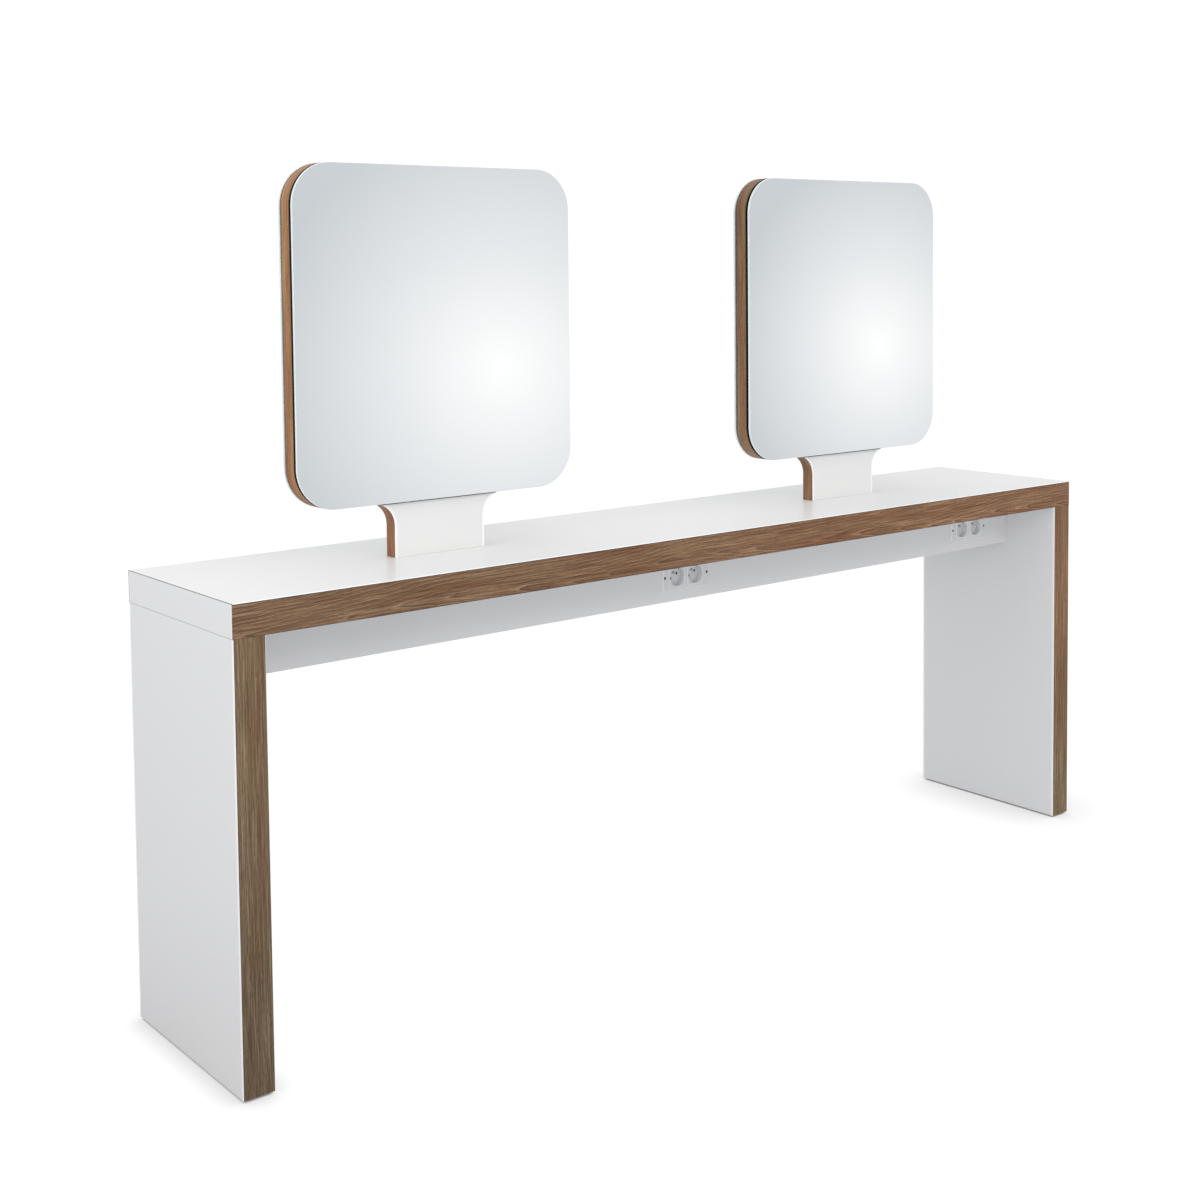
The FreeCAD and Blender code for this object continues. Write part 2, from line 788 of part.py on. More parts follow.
def mirror_tapes():
    """Upright foam strips between the boards and the glass."""
    reach = mirror_width / 2 - tape_edge_distance
    low = glass_low_z + mirror_corner
    high = glass_high_z - mirror_corner
    step = 2 * (reach - tape_width / 2) / (tape_rows - 1)
    strips = []
    for x in mirror_xs:
        for side in (FRONT, REAR):
            for row in range(tape_rows):
                left = x - reach + row * step
                strips.append(block((left, left + tape_width), (side * board_face_y, side * glass_back_y),
                                    (low, high)))
    return group(strips)


def stud_places():
    return [(x + end * stud_spacing / 2, 0) for x in mirror_xs for end in (LEFT, RIGHT)]


def studs():
    low = nut_low_z - stud_below_nut
    return [rod(stud_diameter, V(x, y, low), V(x, y, desk_height + stud_in_board)) for x, y in stud_places()]


def clamp_plates():
    return group(cut_all(block((x - clamp_plate_length / 2, x + clamp_plate_length / 2),
                               (-clamp_plate_width / 2, clamp_plate_width / 2),
                               (clamp_plate_z, underside_z)), stud_tools) for x in mirror_xs)


def stud_nuts():
    return group(cut_all(hexagon(nut_across_flats, nut_low_z, clamp_plate_z, x, y), stud_tools)
                 for x, y in stud_places())


# ------------------------------------------------------------------ glides
def glide_places():
    """(x, y) of the glides by name."""
    reach = half_depth - glide_edge_distance
    return {side_name + "_" + edge_name + "_glide": (side * leg_middle_x, edge * reach)
            for side_name, side in (("left", LEFT), ("right", RIGHT))
            for edge_name, edge in (("front", FRONT), ("rear", REAR))}


def glide(x, y):
    foot = rod(glide_foot_diameter, V(x, y, 0), V(x, y, glide_foot_thickness))
    foot = chamfered(foot, arris, "z", 0)
    return foot.fuse(rod(glide_stem_diameter, V(x, y, 0), V(x, y, glide_stem_length))).removeSplitter()


def sleeve_blank(x, y):
    flange = rod(sleeve_flange_diameter, V(x, y, leg_base_z), V(x, y, leg_base_z + sleeve_flange_thickness))
    return flange.fuse(rod(sleeve_diameter, V(x, y, leg_base_z), V(x, y, leg_base_z + sleeve_length)))


def glide_bore(x, y):
    """Bore in the foot rail: the sleeve's seat with room for the stem above it."""
    stem_room = rod(sleeve_diameter - 2 * sleeve_flange_thickness, V(x, y, leg_base_z),
                    V(x, y, glide_stem_length + sleeve_flange_thickness))
    return sleeve_blank(x, y).fuse(stem_room).removeSplitter()


def glide_sleeves():
    thread = glide_stem_diameter + 2 * glide_running_gap
    return group(sleeve_blank(x, y).removeSplitter().cut(
        rod(thread, V(x, y, leg_base_z), V(x, y, leg_base_z + sleeve_length)))
        for x, y in glide_places().values())


# ------------------------------------------------------------------ pieces that others are drilled for
top_bays = spans_between(-end_block_x, end_block_x, mirror_xs, mirror_block_length / 2)

dowels = [rod(dowel_diameter, V(x, y, underside_z - dowel_length / 2), V(x, y, underside_z + dowel_length / 2))
          for x, y in dowel_places()]
stud_tools = studs()
glide_bores = [glide_bore(x, y) for x, y in glide_places().values()]

wood_screw = screw_blank(screw_length, screw_shank, screw_head)
cleat_screw_tools = blanks_at(wood_screw, cleat_screw_places())
cover_screw_tools = blanks_at(wood_screw, cover_screw_places())
bracket_top_tools = blanks_at(wood_screw, bracket_screw_places(True))
bracket_leg_tools = blanks_at(wood_screw, bracket_screw_places(False))

socket_screw = screw_blank(socket_screw_length, socket_screw_shank, socket_screw_head)
socket_screw_places = [(V(end * bezel_screw_spacing / 2, -bezel_thickness, 0), V(0, 1, 0))
                       for end in (LEFT, RIGHT)]
socket_screw_blanks = blanks_at(socket_screw, socket_screw_places)
socket_screw_tools = on_every_unit(socket_screw_blanks)

cable_runs = [rod(cable_diameter, start, end) for start, end in cable_ends()]

# ------------------------------------------------------------------ the sub-parts
nodes = {
    "top_deck": top_deck(),
    "top_underside": top_underside(),
    "top_rails": top_rails(),
    "honeycomb_cores": honeycomb_cores(),
    "top_front_band": top_band(FRONT),
    "top_rear_band": top_band(REAR),
    "top_end_bands": top_end_bands(),
    "leg_rails": leg_rails(),
    "leg_dowels": group(dowels),
    "glide_sleeves": glide_sleeves(),
    "duct_front_panel": duct_panel(FRONT),
    "duct_rear_panel": duct_panel(REAR),
    "duct_cover": duct_cover(),
    "duct_cleats": duct_cleats(),
    "end_brackets": end_brackets(),
    "duct_screws": group(screws_at(wood_screw, screw_head, cleat_screw_places() + cover_screw_places()
                                   + bracket_screw_places(True) + bracket_screw_places(False))),
    "socket_frames": group(on_every_unit([socket_frame()])),
    "socket_inserts": group(on_every_unit(in_both_modules([socket_insert()]))),
    "socket_bases": group(on_every_unit(in_both_modules([socket_base()]))),
    "earth_pins": group(on_every_unit(in_both_modules([earth_pin()]))),
    "contact_sleeves": group(on_every_unit(in_both_modules(contact_sleeves()))),
    "socket_screws": group(on_every_unit(screws_at(socket_screw, socket_screw_head, socket_screw_places))),
    "back_boxes": back_boxes(),
    "duct_wiring": group(cable_runs),
    "cable_clips": cable_clips(),
    "terminal_box": terminal_box(),
    "cable_gland": cable_gland(),
    "mirror_tapes": mirror_tapes(),
    "mirror_studs": group(studs()),
    "clamp_plates": clamp_plates(),
    "stud_nuts": stud_nuts(),
}

for side_name, side, mirror_x in zip(("left", "right"), (LEFT, RIGHT), mirror_xs):
    nodes[side_name + "_leg_outer_skin"] = leg_skin(side, side)
    nodes[side_name + "_leg_inner_skin"] = leg_skin(side, -side)
    nodes[side_name + "_leg_front_band"] = leg_band(side, FRONT)
    nodes[side_name + "_leg_rear_band"] = leg_band(side, REAR)
    nodes[side_name + "_mirror_board"] = mirror_board(mirror_x)
    nodes[side_name + "_mirror_band"] = mirror_band(mirror_x)
    nodes[side_name + "_front_mirror"] = mirror_glass(mirror_x, FRONT)
    nodes[side_name + "_rear_mirror"] = mirror_glass(mirror_x, REAR)

for name, (glide_x, glide_y) in glide_places().items():
    nodes[name] = glide(glide_x, glide_y)

shutter = socket_shutter()
for unit, unit_name in zip(socket_units, ("front_middle", "front_right", "rear_middle", "rear_left")):
    for module_x, module_name in zip(module_xs, ("a", "b")):
        nodes["shutter_" + unit_name + "_" + module_name] = on_unit(moved(shutter, V(module_x, 0, 0)), unit)

os.makedirs("parts", exist_ok=True)
for node, shape in nodes.items():
    shape.exportStep("parts/" + node + ".step")
print(len(nodes), "nodes,", sum(len(shape.Solids) for shape in nodes.values()), "solids")
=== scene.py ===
"""Finishes and stage of a double sided salon station, built round its packed frame.

The desk is a bridge of white melamine panels with walnut foil edge bands. Two mirror boards stand on it, with
a silvered glass on both faces. Metres throughout, in the frame of the construction model.
"""

import json
import math

import bmesh
import bpy
from bpy.props import FloatProperty, FloatVectorProperty, PointerProperty, StringProperty
from mathutils import Matrix, Vector


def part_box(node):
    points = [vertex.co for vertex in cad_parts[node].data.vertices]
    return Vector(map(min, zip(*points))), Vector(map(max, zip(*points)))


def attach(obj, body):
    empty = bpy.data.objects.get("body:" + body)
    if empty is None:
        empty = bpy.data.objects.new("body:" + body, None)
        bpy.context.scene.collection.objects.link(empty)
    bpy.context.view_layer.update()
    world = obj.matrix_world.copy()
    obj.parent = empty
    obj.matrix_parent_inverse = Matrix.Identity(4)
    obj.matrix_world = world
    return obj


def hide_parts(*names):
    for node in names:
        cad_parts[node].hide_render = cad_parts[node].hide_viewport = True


bl_info = {
    "name": "Double sided salon station",
    "version": (1, 0, 0),
    "blender": (4, 5, 0),
    "location": "View3D > Sidebar > Station",
    "description": "Walnut bands, white panels, mirrors, sockets and stage of a double sided salon station",
    "category": "Object",
}

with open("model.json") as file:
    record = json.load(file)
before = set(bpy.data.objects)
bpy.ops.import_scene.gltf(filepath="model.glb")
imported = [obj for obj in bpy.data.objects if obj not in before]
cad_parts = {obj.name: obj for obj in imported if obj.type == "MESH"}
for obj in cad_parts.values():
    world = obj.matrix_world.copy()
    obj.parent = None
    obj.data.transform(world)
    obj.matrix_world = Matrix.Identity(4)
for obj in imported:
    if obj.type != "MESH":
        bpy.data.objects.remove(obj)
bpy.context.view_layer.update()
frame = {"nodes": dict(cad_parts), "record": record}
NODES = frame["nodes"]
STATION = "station"
MM = 0.001
SIDES = ("left", "right")
EDGES = ("front", "rear")
FRONT, REAR = -1, 1

# ------------------------------------------------------------------ sizes read from the frame
HALF_LENGTH, HALF_DEPTH, DESK_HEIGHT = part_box("top_deck")[1]
BAND_LOW, BAND_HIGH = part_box("right_mirror_band")
BOARD_BAND_WIDTH = BAND_HIGH.y - BAND_LOW.y
GLASS_LOW, GLASS_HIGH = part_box("right_front_mirror")
GLASS_HALF = (GLASS_HIGH.x - GLASS_LOW.x) / 2
TOP_BAND_LOW, TOP_BAND_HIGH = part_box("top_front_band")
BAND_THICKNESS = TOP_BAND_HIGH.y - TOP_BAND_LOW.y
PANEL_HALF = (TOP_BAND_HIGH.z - TOP_BAND_LOW.z) / 2
LEG_JOINT, LAMINATE_JOINT = TOP_BAND_LOW.z, TOP_BAND_HIGH.z
FRAMES_LOW, FRAMES_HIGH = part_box("socket_frames")
INSERTS_LOW, INSERTS_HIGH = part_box("socket_inserts")

# ------------------------------------------------------------------ sizes and levels set here
# A socket's depth to its recess's floor, the steps of a quarter turn, and how near counts as the same place.
RECESS_DEPTH, ARC_STEPS, TOUCHING = 13 * MM, 16, 1e-6
# The walnut print's patterns: how long they are along the grain, and how wide across it.
DRIFT, WAVER, FIBRES = (800 * MM, math.inf), (160 * MM, 40 * MM), (120 * MM, 2.5 * MM)
CLOUDS, PORES = (350 * MM, 26 * MM), (16 * MM, 0.9 * MM)
# How far its heart line drifts and its rings waver, how round they close, and how far each runs along.
HEART_DRIFT, RING_WAVER, RING_ROUNDING, RING_RUN = 90 * MM, 18 * MM, 5 * MM, 130 * MM
# The bands' tones before and after two places, as linear factors: partly each lot's own tone, partly painted
# light and shade. The legs' lots are plainer and cooler, and the left leg's is painted darker at the foot, as
# shade; the left mirror's is orange, and painted brighter above the neck, as light.
TOP_TINTS = ((1.02, 1.07, 1.07), (1.28, 1.22, 1.10))
LEG_TINTS = {"left": ((0.74, 0.94, 1.03), (1.0, 1.22, 1.26)),
             "right": ((1.16, 1.50, 1.44), (1.20, 1.16, 1.0))}
BOARD_TINTS = {"left": ((1.50, 1.27, 1.02), (1.74, 1.58, 1.16)),
               "right": ((1.25, 1.28, 1.2), (0.99, 0.95, 0.78))}
# The room: its light at the horizon, what it gains overhead, and the white that the camera sees behind all.
ROOM_LEVEL, OVERHEAD_GAIN, BACKDROP_LEVEL = 0.67, 0.42, 1.05
COOL_ROOM, WARM_LAMP = (0.99, 1.0, 1.012, 1.0), (1.04, 1.0, 0.975, 1.0)
# The glow that each mirror shows: heading and elevation of its middle and its half widths, in degrees.
GLOWS = ((35.55, -3.41, (8.34, 8.58)), (48.44, -2.74, (5.1, 6.5)))
GLOW_LEVEL, WARM_LEVEL = 0.43, 0.4
# Soft lights: name, place, what they face, size and watts.
LIGHTS = (("front_high", (-0.5, -4.5, 4.0), (0, 0, 0.7), (4.0, 2.0), 50),
          ("front_low", (-2.5, -6.0, 1.0), (0, 0, 0.5), (2.5, 1.6), 13),
          ("left_low", (-7.5, -2.2, 1.0), (0, 0, 0.5), (1.5, 1.6), 53),
          ("left_near", (-2.3, -0.5, 2.0), (-1.1, 0, 0.5), (0.8, 0.8), 3.8))


def mirror_middle(side):
    """Where a mirror board stands along the desk."""
    low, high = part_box(side + "_front_mirror")
    return (low.x + high.x) / 2


# ------------------------------------------------------------------ user sizes and colours
def length(name, description, value):
    return FloatProperty(name=name, description=description, default=value, unit="LENGTH", precision=5)


def colour(name, description, value):
    return StringProperty(name=name, description=description + ", sRGB hex", default=value)


class StationWood(bpy.types.PropertyGroup):
    """Walnut foil edge bands."""
    ground: colour("Ground", "Main tone of the foil", "#866346")
    light: colour("Early wood", "Tone of the pale side of a growth ring", "#BE9A78")
    dark: colour("Late wood", "Tone of the dark line that closes a growth ring", "#4A3120")
    # The scraped edge tone is painted shade: the dark line along the walnut's long edges.
    edge: colour("Scraped edge", "Tone of the burnished long edges", "#33241A")
    arris: length("Arris", "Radius of the scraped long edges", 0.4 * MM)


class StationWhite(bpy.types.PropertyGroup):
    """Melamine faced panels."""
    face: colour("Face", "White of the melamine", "#EEEDEC")
    # The scraped edge colour is a painted highlight: the bright line on the white beside the walnut.
    scraped: colour("Scraped edge", "Brighter line beside the walnut", "#FFFFFF")
    joint: colour("Joint", "Shade of the joints at the ends", "#858584")
    roughness: FloatProperty(name="Roughness", description="Roughness of the melamine", default=0.34,
                             min=0.0, max=1.0)


class StationMirror(bpy.types.PropertyGroup):
    """Silvered glass."""
    corner: length("Corner", "Radius of the mirror's corners", 80 * MM)
    arris: length("Arris", "Width of the polished arris", 0.8 * MM)
    tint: colour("Tint", "Tint of the silvering seen through the glass", "#F1F6F9")
    fillet: length("Fillet", "Radius where the neck flares into the board", 45 * MM)


class StationPaper(bpy.types.PropertyGroup):
    """Expanded paper honeycomb in the panels."""
    cell: length("Cell", "Width of a honeycomb cell", 30 * MM)
    paper: length("Paper", "Thickness of a cell wall", 0.6 * MM)


class StationStage(bpy.types.PropertyGroup):
    """Camera and floor."""
    camera: FloatVectorProperty(name="Camera", description="Place of the camera", subtype="TRANSLATION",
                                default=(-2.37975, -2.70882, 1.39954))
    yaw: FloatProperty(name="Yaw", description="Heading of the camera, from +Y towards +X", subtype="ANGLE",
                       default=0.67875)
    pitch: FloatProperty(name="Pitch", description="Downward tilt of the camera", subtype="ANGLE",
                         default=0.05873)
    roll: FloatProperty(name="Roll", description="Turn of the camera about its line of sight",
                        subtype="ANGLE", default=-0.00993)
    lens: FloatProperty(name="Lens", description="Focal length for a sensor 36 mm wide", default=49.859,
                        min=1.0)
    shift: FloatProperty(name="Rise", description="Vertical shift of the lens, in picture widths",
                         default=-0.1958)
    floor: length("Floor", "Half the width of the floor", 5.0)


GROUPS = {"station_wood": StationWood, "station_white": StationWhite, "station_mirror": StationMirror,
          "station_paper": StationPaper, "station_stage": StationStage}


# ------------------------------------------------------------------ helpers for trees
MATH, MEASURE, MIX, RANGE = "ShaderNodeMath", "ShaderNodeVectorMath", "ShaderNodeMix", "ShaderNodeMapRange"
NOISE, RAMP, BUMP, STRETCH = "ShaderNodeTexNoise", "ShaderNodeValToRGB", "ShaderNodeBump", "ShaderNodeMapping"
SPLIT, JOIN, PLACE = "ShaderNodeSeparateXYZ", "ShaderNodeCombineXYZ", "ShaderNodeTexCoord"
RGBA, SMOOTH = {"data_type": "RGBA"}, {"interpolation_type": "SMOOTHSTEP"}


def linear(code):
    """Linear RGBA of an sRGB hex value."""
    channels = [int(code[i:i + 2], 16) / 255 for i in (1, 3, 5)]
    return [c / 12.92 if c <= 0.04045 else ((c + 0.055) / 1.055) ** 2.4 for c in channels] + [1.0]


WHITE = linear("#FFFFFF")


def darkened(tone, factor):
    return [channel * factor for channel in tone[:3]] + [1.0]


def feed(tree, node, *values, **named):
    """Fills a node's inputs: those in use in turn, and others by name, with _ for a space.

    An input takes a value, a socket, or a node, which stands for its first output in use."""
    pairs = [*zip((socket for socket in node.inputs if socket.enabled), values),
             *((node.inputs[name.replace("_", " ")], value) for name, value in named.items())]
    for socket, value in pairs:
        if isinstance(value, bpy.types.Node):
            value = next(output for output in value.outputs if output.enabled)
        if isinstance(value, bpy.types.NodeSocket):
            tree.links.new(value, socket)
        else:
            socket.default_value = value


def add(tree, kind, *values, stops=(), **named):
    """Adds a node with its settings and links. Names in small letters are settings, the others are inputs.

    Stops are a colour ramp's, as (place, hex) pairs."""
    node = tree.nodes.new(kind)
    for name in [name for name in named if name.islower()]:
        setattr(node, name, named.pop(name))
    for _ in stops[2:]:
        node.color_ramp.elements.new(0.5)
    for number, (place, code) in enumerate(stops):
        element = node.color_ramp.elements[number]
        element.position, element.color = place, linear(code)
    feed(tree, node, *values, **named)
    return node


def distance(tree, value, place):
    """How far a value is from a place."""
    return add(tree, MATH, add(tree, MATH, value, place, operation="SUBTRACT"), operation="ABSOLUTE")


def new_material(name, **constants):
    """A Principled material with its tree, its shader and the places on the object; constants are inputs."""
    material = bpy.data.materials.new(name)
    material.use_nodes = True
    tree = material.node_tree
    tree.nodes.clear()
    shader = add(tree, "ShaderNodeBsdfPrincipled", **constants)
    add(tree, "ShaderNodeOutputMaterial", shader)
    return material, tree, shader, add(tree, PLACE).outputs["Object"]


def opened(material):
    """A material's tree, its shader, the places on the object, and what feeds the shader's base colour."""
    tree = material.node_tree
    shader, place = (next(node for node in tree.nodes if node.type == kind)
                     for kind in ("BSDF_PRINCIPLED", "TEX_COORD"))
    return tree, shader, place.outputs["Object"], shader.inputs["Base Color"].links[0].from_socket


def dress(material, *names):
    """Gives CAD nodes a material."""
    for name in names:
        slots = NODES[name].data.materials
        slots.clear()
        slots.append(material)


def soften(mesh, degrees=30):
    """Smooth shading below an angle, so that turned faces don't show their facets."""
    mesh.set_sharp_from_angle(angle=math.radians(degrees))


# ------------------------------------------------------------------ materials
def white_melamine():
    """Melamine faced chipboard, pressed against a fine pearl plate: satin, with a faint sheen.

    A painted highlight brightens it beside the walnut; its joints are darker on the outside, with painted
    shade in the groove under the top."""
    group = bpy.context.scene.station_white
    material, tree, shader, place = new_material("white_melamine", IOR=1.5)
    x, y, z = add(tree, SPLIT, place).outputs
    # The pearl is 0.5 mm; it is drawn at 1.2 mm so that it shows.
    pearl = add(tree, NOISE, place, Scale=1 / (1.2 * MM), Detail=1.0)
    cloud = add(tree, NOISE, place, Scale=1 / (220 * MM))
    face = linear(group.face)
    clouded = add(tree, MATH, cloud, 0.6, operation="MULTIPLY")
    tone = add(tree, MIX, clouded, face, darkened(face, 0.975), **RGBA)
    # Painted highlight: a bright line on the last 3 mm of white before the walnut.
    edge = HALF_DEPTH - BAND_THICKNESS
    deep = add(tree, MATH, y, operation="ABSOLUTE")
    scraped = add(tree, RANGE, deep, edge - 3.5 * MM, edge - 2.0 * MM, **SMOOTH)
    tone = add(tree, MIX, scraped, tone, linear(group.scraped), **RGBA)
    # Lines on the outside, over the edges' arrises too: painted shade in the groove of the leg's joint under
    # the top, and the laminate's bare edge over the end band, which is darker.
    sideways = add(tree, MATH, x, operation="ABSOLUTE")
    outside = add(tree, MATH, sideways, HALF_LENGTH - 0.8 * MM, operation="GREATER_THAN")
    beside = add(tree, RANGE, distance(tree, z, LEG_JOINT), 0.4 * MM, 1.2 * MM, **SMOOTH)
    # Painted shade in the groove of the joint under the top.
    joint_groove_shade = add(tree, MATH, 1.0, beside, operation="SUBTRACT")
    joint_groove_shade = add(tree, MATH, joint_groove_shade, 0.42, operation="MULTIPLY")
    over_band = add(tree, MATH, z, LAMINATE_JOINT - 0.4 * MM, operation="GREATER_THAN")
    lines = add(tree, MATH, joint_groove_shade, over_band, operation="MAXIMUM")
    lines = add(tree, MATH, lines, outside, operation="MULTIPLY")
    feed(tree, shader, Base_Color=add(tree, MIX, lines, tone, linear(group.joint), **RGBA),
         Roughness=add(tree, MATH, cloud, 0.06, group.roughness - 0.03, operation="MULTIPLY_ADD"),
         Normal=add(tree, BUMP, Height=pearl, Distance=0.012 * MM, Strength=0.6))
    return material


def board_melamine(side):
    """The same white with a painted highlight along the neck's edge, and black where a glass covers the
    board.

    The black is painted shade: it reaches 3 mm below the glass, so that the gap behind the glass stays dark."""
    fillet = bpy.context.scene.station_mirror.fillet
    material = bpy.data.materials["white_melamine"].copy()
    material.name = f"{side}_mirror_board_melamine"
    tree, shader, place, white = opened(material)
    x, _, z = add(tree, SPLIT, place).outputs
    # Distance from the neck's outline, which is straight and then flares out in a fillet.
    aside = distance(tree, x, mirror_middle(side))
    across = add(tree, MATH, neck_half_width() + fillet, aside, operation="SUBTRACT")
    flare = add(tree, MATH, z, GLASS_LOW.z - fillet, operation="SUBTRACT")
    flare = add(tree, MATH, flare, 0.0, operation="MAXIMUM")
    from_centre = add(tree, MEASURE, add(tree, JOIN, across, flare), operation="LENGTH")
    inside = add(tree, MATH, from_centre, fillet + BAND_THICKNESS, operation="SUBTRACT")
    plain = add(tree, RANGE, inside, 1.5 * MM, 3.0 * MM, **SMOOTH)
    # Painted highlight: a bright line on the white beside the neck's walnut.
    scraped = add(tree, MATH, 1.0, plain, operation="SUBTRACT")
    tone = add(tree, MIX, scraped, white, linear(bpy.context.scene.station_white.scraped), **RGBA)
    # Painted shade: black where a glass covers the board and 3 mm below it, the gap's shadow.
    painted_gap_shade = add(tree, MATH, z, GLASS_LOW.z - 3 * MM, operation="GREATER_THAN")
    feed(tree, shader, Base_Color=add(tree, MIX, painted_gap_shade, tone, linear("#0B0A0A"), **RGBA))
    return material


def walnut_foil(name, half_width, heart, tints, places, contrast, axis=2, ring=7 * MM):
    """Walnut printed on a 2 mm edge band under satin lacquer: growth rings, fibres, pores, painted shade
    along the edges.

    The band's own map runs along the grain in U and across it in V, in metres, V from the band's middle.
    The rings run out in cathedrals about a heart line, which lies `heart` metres off the middle. The tints
    are mixed between two places along an axis: partly the lot's own tone, partly painted light and shade."""
    group = bpy.context.scene.station_wood
    material, tree, shader, place = new_material(name, IOR=1.48, Roughness=0.5)
    grain = add(tree, "ShaderNodeUVMap", uv_map="grain")
    along, across, _ = add(tree, SPLIT, grain).outputs
    ground, dark = linear(group.ground), linear(group.dark)

    def streaks(size, detail, rough=0.5):
        """Noise drawn out along the grain, from its size along and across."""
        drawn = add(tree, STRETCH, grain, Scale=(1 / size[0], 1 / size[1], 1))
        return add(tree, NOISE, drawn, Scale=1.0, Detail=detail, Roughness=rough)

    # The heart line drifts by some centimetres over a metre, and the rings waver by a few millimetres.
    drift = add(tree, MATH, streaks(DRIFT, 1.0), 0.5, operation="SUBTRACT")
    heart_line = add(tree, MATH, drift, HEART_DRIFT, heart, operation="MULTIPLY_ADD")
    off = add(tree, MATH, across, heart_line, operation="SUBTRACT")
    squared = add(tree, MATH, off, off, operation="MULTIPLY")
    squared = add(tree, MATH, squared, RING_ROUNDING ** 2, operation="ADD")
    rounded = add(tree, MATH, squared, operation="SQRT")
    waver = add(tree, MATH, streaks(WAVER, 3.0, 0.55), 0.5, operation="SUBTRACT")
    outwards = add(tree, MATH, waver, RING_WAVER, rounded, operation="MULTIPLY_ADD")
    outwards = add(tree, MATH, outwards, ring, operation="DIVIDE")
    rings = add(tree, MATH, along, -1 / RING_RUN, outwards, operation="MULTIPLY_ADD")
    # Early wood is pale, late wood closes each ring with a dark line; each ring has its own strength.
    ringed = add(tree, RAMP, add(tree, MATH, rings, operation="FRACT"), stops=(
        (0.0, group.dark), (0.08, group.dark), (0.2, group.light), (0.4, group.ground), (0.8, group.ground),
        (1.0, group.dark)))
    number = add(tree, MATH, rings, operation="FLOOR")
    own = add(tree, "ShaderNodeTexWhiteNoise", noise_dimensions="1D", W=number)
    strength = add(tree, MATH, own, 0.5, 0.5, operation="MULTIPLY_ADD")
    strength = add(tree, MATH, strength, contrast, operation="MULTIPLY")
    tone = add(tree, MIX, strength, ground, ringed, **RGBA)
    # Fibres: pale and dark streaks 2.5 mm apart, and broad clouds of tone.
    fibres = streaks(FIBRES, 3.0, 0.65)
    streaked = add(tree, RAMP, fibres, stops=((0.36, group.dark), (0.5, group.ground), (0.64, group.light)))
    tone = add(tree, MIX, 0.45, tone, streaked, **RGBA)
    cloud = add(tree, RAMP, streaks(CLOUDS, 2.0),
                stops=((0.35, "#D8BCA8"), (0.5, "#E8E2DC"), (0.65, "#FFFFFF")))
    clouded = add(tree, MIX, 1.0, tone, cloud, blend_type="MULTIPLY", **RGBA)
    tone = add(tree, MIX, 0.8, tone, clouded, **RGBA)
    # Pores are 0.2 mm wide; they are drawn at 0.9 mm so that they show.
    between = add(tree, RANGE, streaks(PORES, 1.0), 0.36, 0.44, **SMOOTH)
    pores = add(tree, MATH, 1.0, between, operation="SUBTRACT")
    pores = add(tree, MATH, pores, 0.5, operation="MULTIPLY")
    tone = add(tree, MIX, pores, tone, dark, **RGBA)
    # Painted shade: a dark line along the long edges.
    aside = add(tree, MATH, across, operation="ABSOLUTE")
    edge = add(tree, RANGE, aside, half_width - 1.6 * MM, half_width - 0.7 * MM, **SMOOTH)
    edge = add(tree, MATH, edge, 0.75, operation="MULTIPLY")
    tone = add(tree, MIX, edge, tone, linear(group.edge), **RGBA)
    # Partly the lot's own tone and partly painted light and shade: the tint changes between two places.
    reached = add(tree, RANGE, add(tree, SPLIT, place).outputs[axis], *places, **SMOOTH)
    tint = add(tree, MIX, reached, *((*tint, 1.0) for tint in tints), **RGBA)
    emboss = add(tree, MATH, fibres, 0.5, operation="MULTIPLY")
    emboss = add(tree, MATH, emboss, between, operation="ADD")
    feed(tree, shader, Base_Color=add(tree, MIX, 1.0, tone, tint, blend_type="MULTIPLY", **RGBA),
         Normal=add(tree, BUMP, Height=emboss, Distance=0.05 * MM, Strength=0.7))
    return material


def silvered_glass():
    """Float glass silvered on its back: a sharp reflection, a trace green and dark."""
    tint = linear(bpy.context.scene.station_mirror.tint)
    material, tree, shader, place = new_material("silvered_glass", Metallic=1.0)
    film = add(tree, NOISE, place, Scale=1 / (90 * MM), Detail=3.0)
    # Roller wave of float glass: far too slight to bend what is seen, it only breaks the flatness.
    wave = add(tree, NOISE, place, Scale=1 / (320 * MM), Detail=1.0)
    feed(tree, shader, Base_Color=add(tree, MIX, film, tint, darkened(tint, 0.985), **RGBA),
         Roughness=add(tree, MATH, film, 0.012, 0.012, operation="MULTIPLY_ADD"),
         Normal=add(tree, BUMP, Height=wave, Distance=0.02 * MM, Strength=0.2))
    return material


def polished_edge():
    """Diamond polished edge of float glass: bright, a little green, with the wheel's fine lines along it."""
    material, tree, shader, place = new_material("polished_glass_edge", IOR=1.52, Roughness=0.12)
    drawn = add(tree, STRETCH, place, Scale=(1 / (25 * MM), 0.9 / MM, 1 / (25 * MM)))
    streak = add(tree, NOISE, drawn, Scale=1.0)
    feed(tree, shader, Base_Color=add(tree, RAMP, streak, stops=((0.3, "#DDE9E6"), (0.7, "#F4F8F7"))))
    return material


def mirror_back():
    """Pale grey protective lacquer over the silvering."""
    material, tree, shader, place = new_material("mirror_back_lacquer", IOR=1.5, Roughness=0.6)
    mottle = add(tree, NOISE, place, Scale=1 / (6 * MM))
    feed(tree, shader, Base_Color=add(tree, RAMP, mottle, stops=((0.3, "#D3D7D0"), (0.7, "#E1E4DD"))))
    return material


def plain_finish(name, light, dark, grain, roughness, bump_mm=0.0, stretch=(1, 1, 1), **constants):
    """A finish with a grain of the given size in metres, between two tones."""
    material, tree, shader, place = new_material(name, **constants)
    drawn = add(tree, STRETCH, place, Scale=stretch)
    grains = add(tree, NOISE, drawn, Scale=1 / grain, Detail=3.0, Roughness=0.6)
    feed(tree, shader, Base_Color=add(tree, RAMP, grains, stops=((0.35, dark), (0.65, light))),
         Roughness=add(tree, MATH, grains, 0.12, roughness - 0.06, operation="MULTIPLY_ADD"))
    if bump_mm:
        feed(tree, shader, Normal=add(tree, BUMP, Height=grains, Distance=bump_mm * MM, Strength=0.7))
    return material


